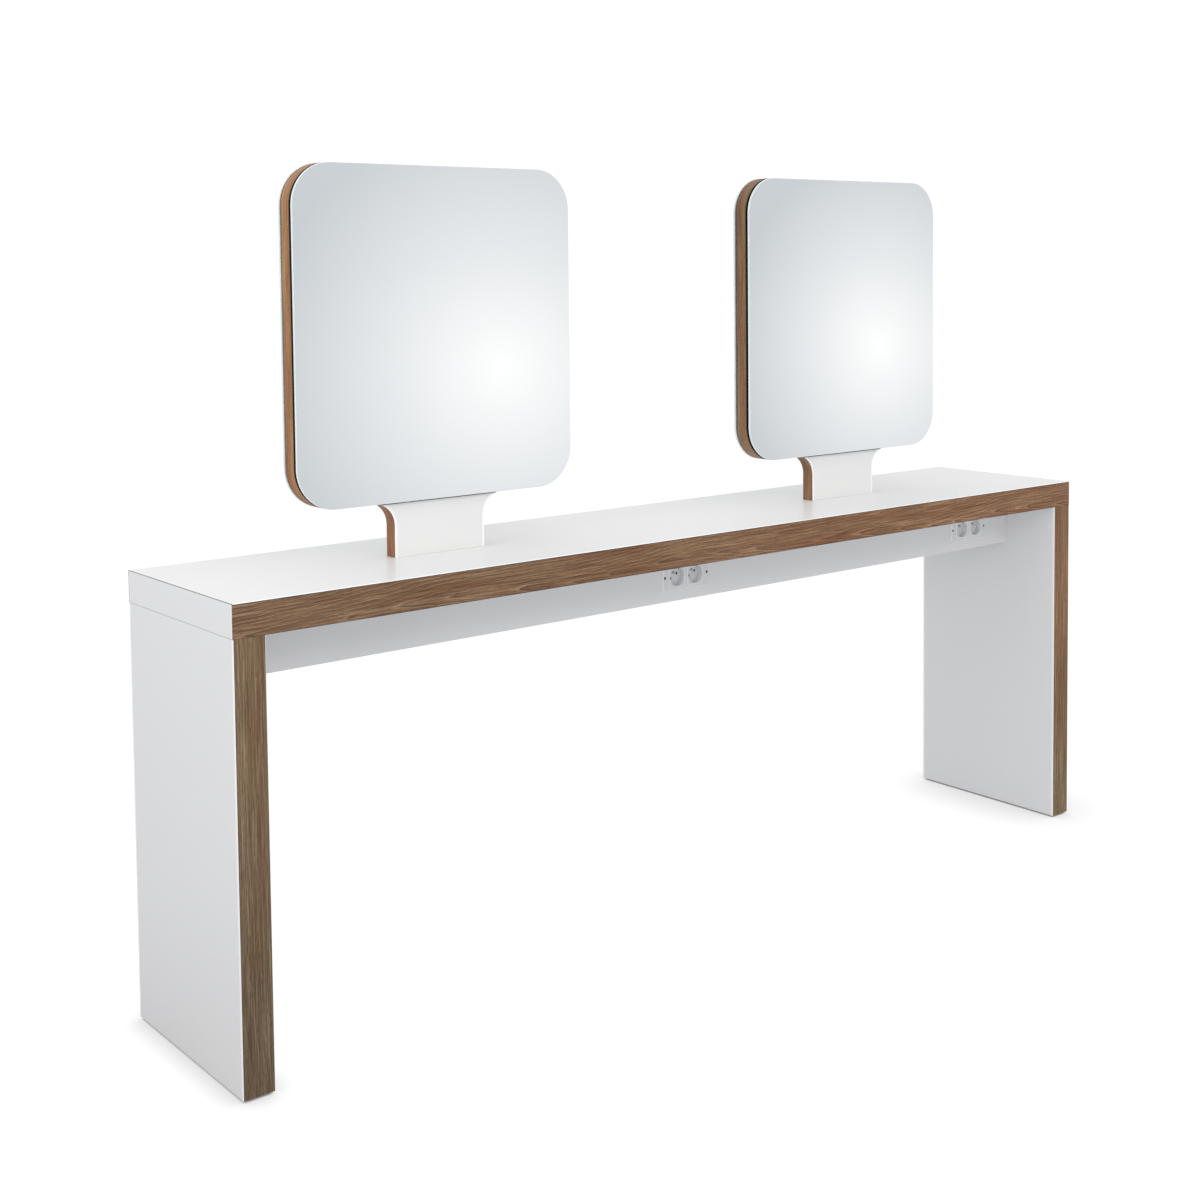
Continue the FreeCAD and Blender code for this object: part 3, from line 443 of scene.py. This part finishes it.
def chipboard():
    """Raw chipboard: pressed flakes of 2 to 4 mm between glue."""
    material, tree, shader, place = new_material("raw_chipboard", Roughness=0.85)
    flakes = add(tree, "ShaderNodeTexVoronoi", place, Scale=1 / (3 * MM)).outputs
    own = add(tree, SPLIT, flakes["Color"])
    feed(tree, shader,
         Base_Color=add(tree, RAMP, own, stops=((0.0, "#8E6C45"), (0.55, "#B8976A"), (1.0, "#D2B68A"))),
         Normal=add(tree, BUMP, Height=flakes["Distance"], Distance=0.2 * MM, Strength=0.6))
    return material


# ------------------------------------------------------------------ meshes
def new_object(name, data):
    """An object at the origin, in the scene."""
    piece = bpy.data.objects.new(name, data)
    bpy.context.scene.collection.objects.link(piece)
    return piece


def mesh_object(name, bm, *materials):
    """An object from a finished bmesh, with its materials."""
    mesh = bpy.data.meshes.new(name)
    bm.to_mesh(mesh)
    bm.free()
    for material in materials:
        mesh.materials.append(material)
    return new_object(name, mesh)


def arc_points(centre_x, centre_z, radius, start, end):
    angles = [math.radians(start + (end - start) * i / ARC_STEPS) for i in range(ARC_STEPS + 1)]
    return [Vector((centre_x + radius * math.cos(a), centre_z + radius * math.sin(a))) for a in angles]


def glass_outline(inset):
    """Closed outline of a glass in X and Z, anticlockwise as seen from the front, about its middle."""
    radius = bpy.context.scene.station_mirror.corner - inset
    half = GLASS_HALF - inset - radius
    low, high = GLASS_LOW.z + inset + radius, GLASS_HIGH.z - inset - radius
    points = []
    for x, z, start in ((half, low, -90), (half, high, 0), (-half, high, 90), (-half, low, 180)):
        points += arc_points(x, z, radius, start, start + 90)
    return points


def neck_half_width():
    """Half the width of the neck, read where it stands on the desk."""
    board = NODES["right_mirror_board"].data
    return max(v.co.x for v in board.vertices if v.co.z < DESK_HEIGHT + MM) - mirror_middle("right")


def board_path():
    """Open path up one side of the neck, round the board and down the other side, about its middle."""
    group = bpy.context.scene.station_mirror
    corner, fillet = group.corner, group.fillet
    half, neck = GLASS_HALF - corner, neck_half_width()
    low, high, flare = GLASS_LOW.z + corner, GLASS_HIGH.z - corner, GLASS_LOW.z - fillet
    points = [Vector((neck, DESK_HEIGHT))]
    for arc in ((neck + fillet, flare, fillet, 180, 90), (half, low, corner, -90, 0),
                (half, high, corner, 0, 90), (-half, high, corner, 90, 180), (-half, low, corner, 180, 270),
                (-neck - fillet, flare, fillet, 90, 0)):
        points += arc_points(*arc)
    points.append(Vector((-neck, DESK_HEIGHT)))
    return points


# ------------------------------------------------------------------ geometry trees
def new_tree(name, *sizes):
    """A geometry tree that takes a geometry, the named sizes and a material, and the sockets giving them."""
    tree = bpy.data.node_groups.new(name, "GeometryNodeTree")
    inputs = {"Geometry": "Geometry", **dict.fromkeys(sizes, "Float"), "Material": "Material"}
    for label, kind in inputs.items():
        tree.interface.new_socket(label, in_out="INPUT", socket_type="NodeSocket" + kind)
    tree.interface.new_socket("Geometry", in_out="OUTPUT", socket_type="NodeSocketGeometry")
    return tree, add(tree, "NodeGroupInput").outputs


def end_tree(tree, geometry, material):
    """Makes what a tree has built real, gives it its material and hands it out."""
    real = add(tree, "GeometryNodeRealizeInstances", geometry)
    add(tree, "NodeGroupOutput", add(tree, "GeometryNodeSetMaterial", real, Material=material))
    return tree


def run_tree(piece, tree, values):
    """Runs a geometry tree on an object and leaves the plain mesh that comes out."""
    modifier = piece.modifiers.new("build", "NODES")
    modifier.node_group = tree
    for item in tree.interface.items_tree:
        if item.in_out == "INPUT" and item.name in values:
            modifier[item.identifier] = values[item.name]
    bpy.context.view_layer.update()
    evaluated = piece.evaluated_get(bpy.context.evaluated_depsgraph_get())
    mesh = bpy.data.meshes.new_from_object(evaluated)
    mesh.name = name = piece.name
    bpy.data.objects.remove(piece)
    return new_object(name, mesh)


# ------------------------------------------------------------------ walnut bands
def band_tree():
    """Sweeps a band's section along a path in X and Z, and keeps a map along and across it.

    The section lies inside the path, on its left-hand side, with rounded long edges."""
    tree, given = new_tree("swept_band", "Width", "Thickness", "Arris", "Start")
    # The section's own X follows the path's normal, held along Y, so the band never twists.
    level = add(tree, "GeometryNodeSetCurveNormal", given["Geometry"], mode="FREE", Normal=(0, 1, 0))
    path = add(tree, "GeometryNodeCaptureAttribute", level, domain="POINT")
    path.capture_items.new("FLOAT", "Along")
    feed(tree, path, Along=add(tree, "GeometryNodeSplineParameter").outputs["Length"])
    section = add(tree, "GeometryNodeCurvePrimitiveQuadrilateral", given["Width"], given["Thickness"])
    rounded = add(tree, "GeometryNodeFilletCurve", section, mode="POLY", Radius=given["Arris"], Count=3,
                  Limit_Radius=True)
    half = add(tree, MATH, given["Thickness"], 0.5, operation="MULTIPLY")
    inside = add(tree, "GeometryNodeSetPosition", rounded, Offset=add(tree, JOIN, 0.0, half))
    profile = add(tree, "GeometryNodeCaptureAttribute", inside, domain="POINT")
    profile.capture_items.new("FLOAT", "Across")
    feed(tree, profile, Across=add(tree, SPLIT, add(tree, "GeometryNodeInputPosition")))
    swept = add(tree, "GeometryNodeCurveToMesh", path, profile, Fill_Caps=True)
    start = add(tree, MATH, path.outputs["Along"], given["Start"], operation="ADD")
    spot = add(tree, JOIN, start, profile.outputs["Across"])
    stored = add(tree, "GeometryNodeStoreNamedAttribute", swept, data_type="FLOAT2", domain="CORNER",
                 Name="grain", Value=spot)
    return end_tree(tree, stored, given["Material"])


def path_object(name, points):
    """A curve of one straight-sided spline through points in metres."""
    data = bpy.data.curves.new(name, "CURVE")
    data.dimensions = "3D"
    spline = data.splines.new("POLY")
    spline.points.add(len(points) - 1)
    for point, place in zip(spline.points, points):
        point.co = (*place, 1.0)
    return new_object(name, data)


def box_band(name, node, grain_axis, start, material):
    """A straight band in the place of its CAD node, with rounded long edges and the grain mapped along it.

    The print on it begins `start` metres along, so that no two bands are alike."""
    low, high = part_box(node)
    bm = bmesh.new()
    bmesh.ops.create_cube(bm, size=1.0)
    for vertex in bm.verts:
        vertex.co = Vector([low[i] + (vertex.co[i] + 0.5) * (high[i] - low[i]) for i in range(3)])
    outer = low.y if low.y < 0 else high.y
    long_edges = [e for e in bm.edges
                  if all(abs(v.co.y - outer) < TOUCHING for v in e.verts)
                  and abs((e.verts[0].co - e.verts[1].co)[grain_axis]) > MM]
    bmesh.ops.bevel(bm, geom=long_edges, offset=bpy.context.scene.station_wood.arris, segments=3,
                    profile=0.5, affect="EDGES")
    grain = bm.loops.layers.uv.new("grain")
    across_axis = 2 if grain_axis == 0 else 0
    middle = (low[across_axis] + high[across_axis]) / 2
    for face in bm.faces:
        face.smooth = False
        for loop in face.loops:
            spot = loop.vert.co
            loop[grain].uv = (spot[grain_axis] + start, spot[across_axis] - middle)
    piece = mesh_object(name, bm, material)
    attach(piece, STATION)
    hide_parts(node)


def mirror_band(side, tree, start, material):
    """The band that follows the board's outline, up one side of the neck and down the other."""
    middle = mirror_middle(side)
    path = path_object(side + "_mirror_foil", [(middle + p.x, 0.0, p.y) for p in board_path()])
    piece = run_tree(path, tree, {
        "Width": BOARD_BAND_WIDTH, "Thickness": BAND_THICKNESS,
        "Arris": bpy.context.scene.station_wood.arris, "Start": start, "Material": material})
    piece.data.shade_smooth()
    soften(piece.data, 35)
    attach(piece, STATION)
    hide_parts(side + "_mirror_band")


class STATION_OT_walnut_bands(bpy.types.Operator):
    """Walnut foil bands of the desk and the mirror boards"""
    bl_idname = "station.walnut_bands"
    bl_label = "Walnut bands"

    def execute(self, context):
        foil = walnut_foil("walnut_foil", PANEL_HALF, -18 * MM, TOP_TINTS, (-1.0, 1.0), contrast=1.2, axis=0)
        for edge, start in zip(EDGES, (3.0, 9.0)):
            box_band(f"desk_{edge}_foil", f"top_{edge}_band", 0, start, foil)
        neck_top = GLASS_LOW.z - 20 * MM
        board_heights = {"left": (neck_top, neck_top + 80 * MM), "right": (neck_top, GLASS_HIGH.z)}
        tree = band_tree()
        for number, side in enumerate(SIDES):
            leg_foil = walnut_foil(f"walnut_foil_{side}_leg", PANEL_HALF, 180 * MM, LEG_TINTS[side],
                                   (0.0, 0.6), contrast=0.45, ring=9 * MM)
            for place, edge in enumerate(EDGES):
                box_band(f"{side}_leg_{edge}_foil", f"{side}_leg_{edge}_band", 2, 14.0 + 2 * number + place,
                         leg_foil)
            board_foil = walnut_foil(f"walnut_foil_{side}_mirror", BOARD_BAND_WIDTH / 2, 90 * MM,
                                     BOARD_TINTS[side], board_heights[side], contrast=0.4, ring=6 * MM)
            mirror_band(side, tree, 20.0 + 6 * number, board_foil)
        return {"FINISHED"}


# ------------------------------------------------------------------ mirrors
def glass_pane(side, edge_name, *materials):
    """A silvered pane with a flat polished edge between two arrises; materials of face, edge and back."""
    node = f"{side}_{edge_name}_mirror"
    low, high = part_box(node)
    middle = mirror_middle(side)
    facing = FRONT if high.y < 0 else REAR
    back_y, face_y = (high.y, low.y) if facing == FRONT else (low.y, high.y)
    arris = bpy.context.scene.station_mirror.arris
    steps = [(arris, back_y), (0.0, back_y + facing * arris), (0.0, face_y - facing * arris), (arris, face_y)]
    bm = bmesh.new()
    rings = [[bm.verts.new((middle + p.x, y, p.y)) for p in glass_outline(inset)] for inset, y in steps]
    for first, second in zip(rings, rings[1:]):
        for i in range(len(first)):
            after = (i + 1) % len(first)
            wall = bm.faces.new((first[i], first[after], second[after], second[i]))
            wall.material_index = 1
            wall.smooth = True
    bm.faces.new(rings[0]).material_index = 2
    bm.faces.new(rings[-1]).material_index = 0
    bmesh.ops.recalc_face_normals(bm, faces=bm.faces)
    piece = mesh_object(f"{side}_{edge_name}_glass", bm, *materials)
    soften(piece.data, 25)
    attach(piece, STATION)
    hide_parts(node)


class STATION_OT_mirrors(bpy.types.Operator):
    """Silvered panes on both faces of the boards, and the foam strips behind them"""
    bl_idname = "station.mirrors"
    bl_label = "Mirrors"

    def execute(self, context):
        materials = silvered_glass(), polished_edge(), mirror_back()
        for side in SIDES:
            for edge_name in EDGES:
                glass_pane(side, edge_name, *materials)
        foam = plain_finish("black_foam_tape", "#1B1B1C", "#0D0D0E", 1.5 * MM, 0.9, bump_mm=0.3)
        dress(foam, "mirror_tapes")
        return {"FINISHED"}


# ------------------------------------------------------------------ panels
class STATION_OT_panels(bpy.types.Operator):
    """White melamine panels, their bands and the chipboard inside"""
    bl_idname = "station.panels"
    bl_label = "Panels"

    def execute(self, context):
        white = white_melamine()
        dress(white, "top_deck", "top_underside", "duct_front_panel", "duct_rear_panel", "duct_cover",
              *(f"{side}_leg_{face}_skin" for side in SIDES for face in ("outer", "inner")))
        for side in SIDES:
            dress(board_melamine(side), side + "_mirror_board")
        band = white.copy()
        band.name = "white_melamine_band"
        dress(band, "top_end_bands")
        dress(chipboard(), "top_rails", "leg_rails", "duct_cleats")
        beech = plain_finish("turned_beech", "#D9B48A", "#BD9468", 3 * MM, 0.6, bump_mm=0.05,
                             stretch=(1, 1, 0.1))
        dress(beech, "leg_dowels")
        return {"FINISHED"}


# ------------------------------------------------------------------ honeycomb
def honeycomb_tree():
    """Fills a flat box about the origin with open six-sided cells; the box's depth is along Z."""
    tree, given = new_tree("expanded_honeycomb", "Length", "Width", "Depth", "Cell", "Paper")
    wall = add(tree, MATH, given["Cell"], 1 / math.sqrt(3), operation="MULTIPLY")
    row_pitch = add(tree, MATH, wall, 1.5, operation="MULTIPLY")
    columns = add(tree, MATH, given["Length"], given["Cell"], operation="DIVIDE")
    columns = add(tree, MATH, columns, 0.5, operation="SUBTRACT")
    columns = add(tree, MATH, columns, operation="FLOOR")
    rows = add(tree, MATH, given["Width"], row_pitch, operation="DIVIDE")
    rows = add(tree, MATH, rows, operation="FLOOR")
    reach = []
    for count, pitch in ((columns, given["Cell"]), (rows, row_pitch)):
        gaps = add(tree, MATH, count, 1.0, operation="SUBTRACT")
        reach.append(add(tree, MATH, gaps, pitch, operation="MULTIPLY"))
    knots = add(tree, "GeometryNodeMeshGrid", *reach, columns, rows)
    # Every other row stands half a cell along.
    y = add(tree, SPLIT, add(tree, "GeometryNodeInputPosition")).outputs[1]
    above = add(tree, MATH, reach[1], 0.5, y, operation="MULTIPLY_ADD")
    row = add(tree, MATH, above, row_pitch, operation="DIVIDE")
    row = add(tree, MATH, row, operation="ROUND")
    odd = add(tree, MATH, row, 2.0, operation="MODULO")
    odd = add(tree, MATH, odd, 0.5, operation="SUBTRACT")
    odd = add(tree, MATH, odd, 0.5, operation="MULTIPLY")
    along = add(tree, MATH, odd, given["Cell"], operation="MULTIPLY")
    down = add(tree, MATH, wall, -0.25, operation="MULTIPLY")
    moved = add(tree, "GeometryNodeSetPosition", knots, Offset=add(tree, JOIN, along, down))
    # Three walls meet at each knot, and so every wall of the honeycomb is made once.
    sheet = add(tree, "GeometryNodeMeshCube", add(tree, JOIN, wall, given["Paper"], given["Depth"]))
    half = add(tree, MATH, wall, 0.5, operation="MULTIPLY")
    outwards = add(tree, "GeometryNodeTransform", sheet, Translation=add(tree, JOIN, half))
    knot = add(tree, "GeometryNodeJoinGeometry")
    for degrees in (90, 210, 330):
        turn = (0, 0, math.radians(degrees))
        feed(tree, knot, add(tree, "GeometryNodeTransform", outwards, Rotation=turn))
    placed = add(tree, "GeometryNodeInstanceOnPoints", moved, Instance=knot)
    return end_tree(tree, placed, given["Material"])


def solid_boxes(node):
    """Lowest and highest corner of each separate solid of a node."""
    bm = bmesh.new()
    bm.from_mesh(NODES[node].data)
    bmesh.ops.remove_doubles(bm, verts=bm.verts, dist=0.01 * MM)
    boxes, left = [], set(bm.verts)
    while left:
        island, front = set(), [left.pop()]
        while front:
            vertex = front.pop()
            island.add(vertex)
            for edge in vertex.link_edges:
                other = edge.other_vert(vertex)
                if other in left:
                    left.remove(other)
                    front.append(other)
        boxes.append([Vector([pick(v.co[i] for v in island) for i in range(3)]) for pick in (min, max)])
    bm.free()
    return sorted(boxes, key=lambda box: tuple(box[0]))


class STATION_OT_honeycomb(bpy.types.Operator):
    """Expanded paper honeycomb inside the top and the legs"""
    bl_idname = "station.honeycomb"
    bl_label = "Honeycomb"

    def execute(self, context):
        paper = context.scene.station_paper
        kraft = plain_finish("kraft_paper", "#B8925F", "#A37F50", 5 * MM, 0.9, bump_mm=0.1)
        tree = honeycomb_tree()
        bm = bmesh.new()
        for low, high in solid_boxes("honeycomb_cores"):
            size, middle = high - low, (low + high) / 2
            upright = size.x < size.z
            longest, depth = (size.z, size.x) if upright else (size.x, size.z)
            core = run_tree(new_object("core", bpy.data.meshes.new("core")), tree, {
                "Length": longest, "Width": size.y, "Depth": depth - 0.2 * MM, "Cell": paper.cell,
                "Paper": paper.paper, "Material": kraft})
            turn = Matrix.Rotation(math.radians(-90), 4, "Y") if upright else Matrix.Identity(4)
            core.data.transform(Matrix.Translation(middle) @ turn)
            bm.from_mesh(core.data)
            bpy.data.objects.remove(core)
        piece = mesh_object("paper_honeycomb", bm, kraft)
        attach(piece, STATION)
        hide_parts("honeycomb_cores")
        return {"FINISHED"}


# ------------------------------------------------------------------ sockets and fittings
def socket_plastic(name, centres, half_length, half_height):
    """Moulded polycarbonate: gloss with the faintest flow marks, and a painted highlight along each piece's
    outer 1.5 mm.

    The centres are along the front of the duct; the rear repeats them the other way round. The contact holes'
    bores are painted black as shade, from 0.2 mm under the recess's floor."""
    material = plain_finish(name, "#ECEDED", "#E7E8E8", 12 * MM, 0.22, bump_mm=0.01, IOR=1.58)
    tree, shader, place, plain = opened(material)
    x, y, z = add(tree, SPLIT, place).outputs
    towards_user = add(tree, MATH, y, operation="SIGN")
    towards_user = add(tree, MATH, towards_user, -1.0, operation="MULTIPLY")
    along = add(tree, MATH, x, towards_user, operation="MULTIPLY")
    aside, *others = (distance(tree, along, centre) for centre in centres)
    for other in others:
        aside = add(tree, MATH, aside, other, operation="MINIMUM")
    past_end = add(tree, MATH, aside, half_length, operation="SUBTRACT")
    up = distance(tree, z, (FRAMES_LOW.z + FRAMES_HIGH.z) / 2)
    past_top = add(tree, MATH, up, half_height, operation="SUBTRACT")
    over = add(tree, MATH, past_end, past_top, operation="MAXIMUM")
    # Painted highlight: the outer 1.5 mm of each piece is whiter.
    rim_highlight = add(tree, RANGE, over, -1.8 * MM, -1.2 * MM, **SMOOTH)
    tone = add(tree, MIX, rim_highlight, plain, WHITE, **RGBA)
    # Painted shade: black in the contact holes' bores.
    deep = add(tree, MATH, y, operation="ABSOLUTE")
    floor = INSERTS_HIGH.y - RECESS_DEPTH
    bore_shade = add(tree, MATH, deep, floor - 0.2 * MM, operation="LESS_THAN")
    feed(tree, shader, Base_Color=add(tree, MIX, bore_shade, tone, linear("#101011"), **RGBA))
    return material


class STATION_OT_sockets(bpy.types.Operator):
    """Socket units, their pins, screws and shutters"""
    bl_idname = "station.sockets"
    bl_label = "Sockets"

    def execute(self, context):
        recesses = [opening["box_m"] for opening in frame["record"]["physics"]["openings"]
                    if opening["name"].startswith("recess_front_")]
        modules = [(low[0] + high[0]) / 2 for low, high in recesses]
        units = [(first + second) / 2 for first, second in zip(modules[::2], modules[1::2])]
        half_module = (INSERTS_HIGH.z - INSERTS_LOW.z) / 2
        dress(socket_plastic("moulded_bezel", units, FRAMES_HIGH.x - max(units),
                             (FRAMES_HIGH.z - FRAMES_LOW.z) / 2), "socket_frames")
        dress(socket_plastic("moulded_insert", modules, half_module, half_module), "socket_inserts")
        dress(plain_finish("moulded_base", "#ECEEF0", "#E6E9EB", 12 * MM, 0.3, bump_mm=0.01, IOR=1.58),
              "socket_bases")
        black = plain_finish("moulded_shutter", "#17181A", "#101112", 4 * MM, 0.5, IOR=1.5)
        dress(black, *(name for name in NODES if name.startswith("shutter_")))
        nickel = plain_finish("nickel_plated_brass", "#DADBDD", "#BDBEC2", 0.8 * MM, 0.3, bump_mm=0.01,
                              Metallic=1.0)
        dress(nickel, "earth_pins", "contact_sleeves")
        screw = plain_finish("burnished_screw", "#4B4C4E", "#2C2D2F", 0.6 * MM, 0.35, bump_mm=0.01,
                             Metallic=1.0)
        dress(screw, "socket_screws")
        for name in ("socket_frames", "socket_inserts", "earth_pins", "contact_sleeves", "socket_screws"):
            soften(NODES[name].data)
        return {"FINISHED"}


class STATION_OT_fittings(bpy.types.Operator):
    """Steel and plastic fittings in the duct and under the legs"""
    bl_idname = "station.fittings"
    bl_label = "Fittings"

    def execute(self, context):
        zinc = plain_finish("zinc_plated_steel", "#B9BDC2", "#9A9EA6", 2.5 * MM, 0.34, bump_mm=0.02,
                            Metallic=1.0)
        steel = ("glide_sleeves", "end_brackets", "duct_screws", "mirror_studs", "clamp_plates", "stud_nuts")
        dress(zinc, *steel)
        grey = plain_finish("grey_polystyrene", "#8F9295", "#818488", 1.5 * MM, 0.5, bump_mm=0.05, IOR=1.55)
        dress(grey, "back_boxes", "cable_clips", "terminal_box")
        sheath = plain_finish("white_cable_sheath", "#E3E2DD", "#D8D7D2", 3 * MM, 0.5, bump_mm=0.05, IOR=1.53)
        dress(sheath, "duct_wiring")
        nylon = plain_finish("black_nylon", "#1E1F20", "#141516", 1.0 * MM, 0.55, bump_mm=0.04, IOR=1.53)
        glides = [name for name in NODES if name.endswith("_glide")]
        dress(nylon, "cable_gland", *glides)
        for name in (*steel, "duct_wiring", "cable_clips", "cable_gland", *glides):
            soften(NODES[name].data)
        return {"FINISHED"}


# ------------------------------------------------------------------ stage
def seen_by_camera(tree, shown, unseen):
    """One shader for what the camera sees and another for what lights the scene."""
    seen = add(tree, "ShaderNodeLightPath").outputs["Is Camera Ray"]
    return add(tree, "ShaderNodeMixShader", seen, unseen, shown)


def floor_object(half):
    """Wide white floor: for the camera a white glow with a painted soft contact shadow; it throws back half
    the light.
    """
    bm = bmesh.new()
    bmesh.ops.create_grid(bm, x_segments=2, y_segments=2, size=half)
    material, tree, shader, place = new_material("studio_floor", Roughness=0.95, Specular_IOR_Level=0.0)
    # A dark card lies by the left foot, out of the camera's sight, and keeps light off the leg's lower end.
    foot = add(tree, MEASURE, place, (-HALF_LENGTH, -HALF_DEPTH, 0), operation="DISTANCE")
    beyond = add(tree, RANGE, foot, 0.3, 1.1, **SMOOTH)
    feed(tree, shader, Base_Color=add(tree, MIX, beyond, linear("#A2A3A6"), linear("#BDBFC3"), **RGBA))
    # For the camera the floor glows white, and an occlusion mask paints a soft contact shadow on it, to 60 mm
    # away at the left leg and 240 mm at the right; the gap under a leg is painted darker still.
    reach = add(tree, RANGE, add(tree, SPLIT, place), -HALF_LENGTH, HALF_LENGTH, 0.06, 0.24)
    openness = add(tree, "ShaderNodeAmbientOcclusion", samples=12, Distance=reach).outputs["AO"]
    shade = add(tree, MATH, openness, 0.6, 0.46, operation="MULTIPLY_ADD")
    gap = add(tree, RANGE, openness, 0.05, 0.42, **SMOOTH)
    gap = add(tree, MATH, gap, 0.65, 0.35, operation="MULTIPLY_ADD")
    level = add(tree, MATH, shade, gap, operation="MULTIPLY")
    glow_with_painted_shadow = add(tree, "ShaderNodeEmission", WHITE, level)
    output = next(node for node in tree.nodes if node.type == "OUTPUT_MATERIAL")
    feed(tree, output, seen_by_camera(tree, glow_with_painted_shadow, shader))
    piece = mesh_object("floor", bm, material)


def lamp_glow(tree, direction, heading, elevation, widths):
    """A lamp's round glow in the sky, falling off evenly; angles in degrees, heading from -Y towards +X."""
    a, e = math.radians(heading), math.radians(elevation)
    aim = Vector((math.sin(a) * math.cos(e), -math.cos(a) * math.cos(e), math.sin(e)))
    sideways = Vector((math.cos(a), math.sin(a), 0))
    spans = []
    for axis, width in zip((sideways, sideways.cross(aim)), widths):
        off = add(tree, MEASURE, direction, axis, operation="DOT_PRODUCT")
        off = add(tree, MATH, off, axis.dot(aim), operation="SUBTRACT")
        spans.append(add(tree, MATH, off, math.radians(width), operation="DIVIDE"))
    away = add(tree, MEASURE, add(tree, JOIN, *spans), operation="LENGTH")
    fall = add(tree, MATH, 1.0, away, operation="SUBTRACT", use_clamp=True)
    ahead = add(tree, MEASURE, direction, aim, operation="DOT_PRODUCT")
    ahead = add(tree, MATH, ahead, 0.0, operation="GREATER_THAN")
    fall = add(tree, MATH, fall, ahead, operation="MULTIPLY")
    return add(tree, MATH, fall, GLOW_LEVEL, operation="MULTIPLY")


def studio_sky():
    """White backdrop, and a room that is brighter overhead with a lamp's glow in front of each mirror."""
    world = bpy.data.worlds.new("studio")
    bpy.context.scene.world = world
    world.use_nodes = True
    tree = world.node_tree
    tree.nodes.clear()
    direction = add(tree, PLACE).outputs["Generated"]
    up = add(tree, MATH, add(tree, SPLIT, direction).outputs[2], 0.0, operation="MAXIMUM")
    base = add(tree, MATH, up, OVERHEAD_GAIN, ROOM_LEVEL, operation="MULTIPLY_ADD")
    glow = add(tree, MATH, *(lamp_glow(tree, direction, *lamp) for lamp in GLOWS), operation="MAXIMUM")
    level = add(tree, MATH, base, glow, operation="ADD")
    warmth = add(tree, MATH, glow, WARM_LEVEL, operation="DIVIDE", use_clamp=True)
    room = add(tree, "ShaderNodeBackground", add(tree, MIX, warmth, COOL_ROOM, WARM_LAMP, **RGBA), level)
    backdrop = add(tree, "ShaderNodeBackground", WHITE, BACKDROP_LEVEL)
    add(tree, "ShaderNodeOutputWorld", seen_by_camera(tree, backdrop, room))


def soft_light(name, place, target, size, watts):
    data = bpy.data.lights.new(name, "AREA")
    data.shape = "RECTANGLE"
    data.size, data.size_y = size
    data.energy = watts
    lamp = new_object(name, data)
    lamp.location = place
    lamp.rotation_euler = (Vector(target) - Vector(place)).to_track_quat("-Z", "Y").to_euler()
    lamp.visible_glossy = False


def studio_camera():
    group = bpy.context.scene.station_stage
    data = bpy.data.cameras.new("camera")
    data.sensor_width = 36.0
    data.lens = group.lens
    data.shift_y = group.shift
    camera = new_object("camera", data)
    heading = Matrix.Rotation(-group.yaw, 4, "Z")
    tilt = Matrix.Rotation(math.pi / 2 - group.pitch, 4, "X")
    turn = Matrix.Rotation(group.roll, 4, "Z")
    camera.matrix_world = Matrix.Translation(group.camera) @ heading @ tilt @ turn
    bpy.context.scene.camera = camera


class STATION_OT_stage(bpy.types.Operator):
    """Floor, soft lights, backdrop and camera"""
    bl_idname = "station.stage"
    bl_label = "Stage"

    def execute(self, context):
        context.scene.view_settings.view_transform = "Standard"
        floor_object(context.scene.station_stage.floor)
        studio_sky()
        for light in LIGHTS:
            soft_light(*light)
        studio_camera()
        return {"FINISHED"}


# ------------------------------------------------------------------ registration
OPERATORS = (STATION_OT_panels, STATION_OT_honeycomb, STATION_OT_walnut_bands, STATION_OT_mirrors,
             STATION_OT_sockets, STATION_OT_fittings, STATION_OT_stage)


class STATION_PT_sidebar(bpy.types.Panel):
    """Sizes, colours and steps of the station"""
    bl_idname = "STATION_PT_sidebar"
    bl_label = "Salon station"
    bl_space_type = "VIEW_3D"
    bl_region_type = "UI"
    bl_category = "Station"

    def draw(self, context):
        for name, group in GROUPS.items():
            box = self.layout.box()
            box.label(text=group.__doc__)
            for key in group.__annotations__:
                box.prop(getattr(context.scene, name), key)
        for operator in OPERATORS:
            self.layout.operator(operator.bl_idname)


def register():
    for item in (*GROUPS.values(), *OPERATORS, STATION_PT_sidebar):
        bpy.utils.register_class(item)
    for name, group in GROUPS.items():
        setattr(bpy.types.Scene, name, PointerProperty(type=group))


def unregister():
    for name in GROUPS:
        delattr(bpy.types.Scene, name)
    for item in (STATION_PT_sidebar, *reversed(OPERATORS), *GROUPS.values()):
        bpy.utils.unregister_class(item)


def main():
    register()
    bpy.ops.station.panels()
    bpy.ops.station.honeycomb()
    bpy.ops.station.walnut_bands()
    bpy.ops.station.mirrors()
    bpy.ops.station.sockets()
    bpy.ops.station.fittings()
    bpy.ops.station.stage()


if __name__ == "__main__":
    main()
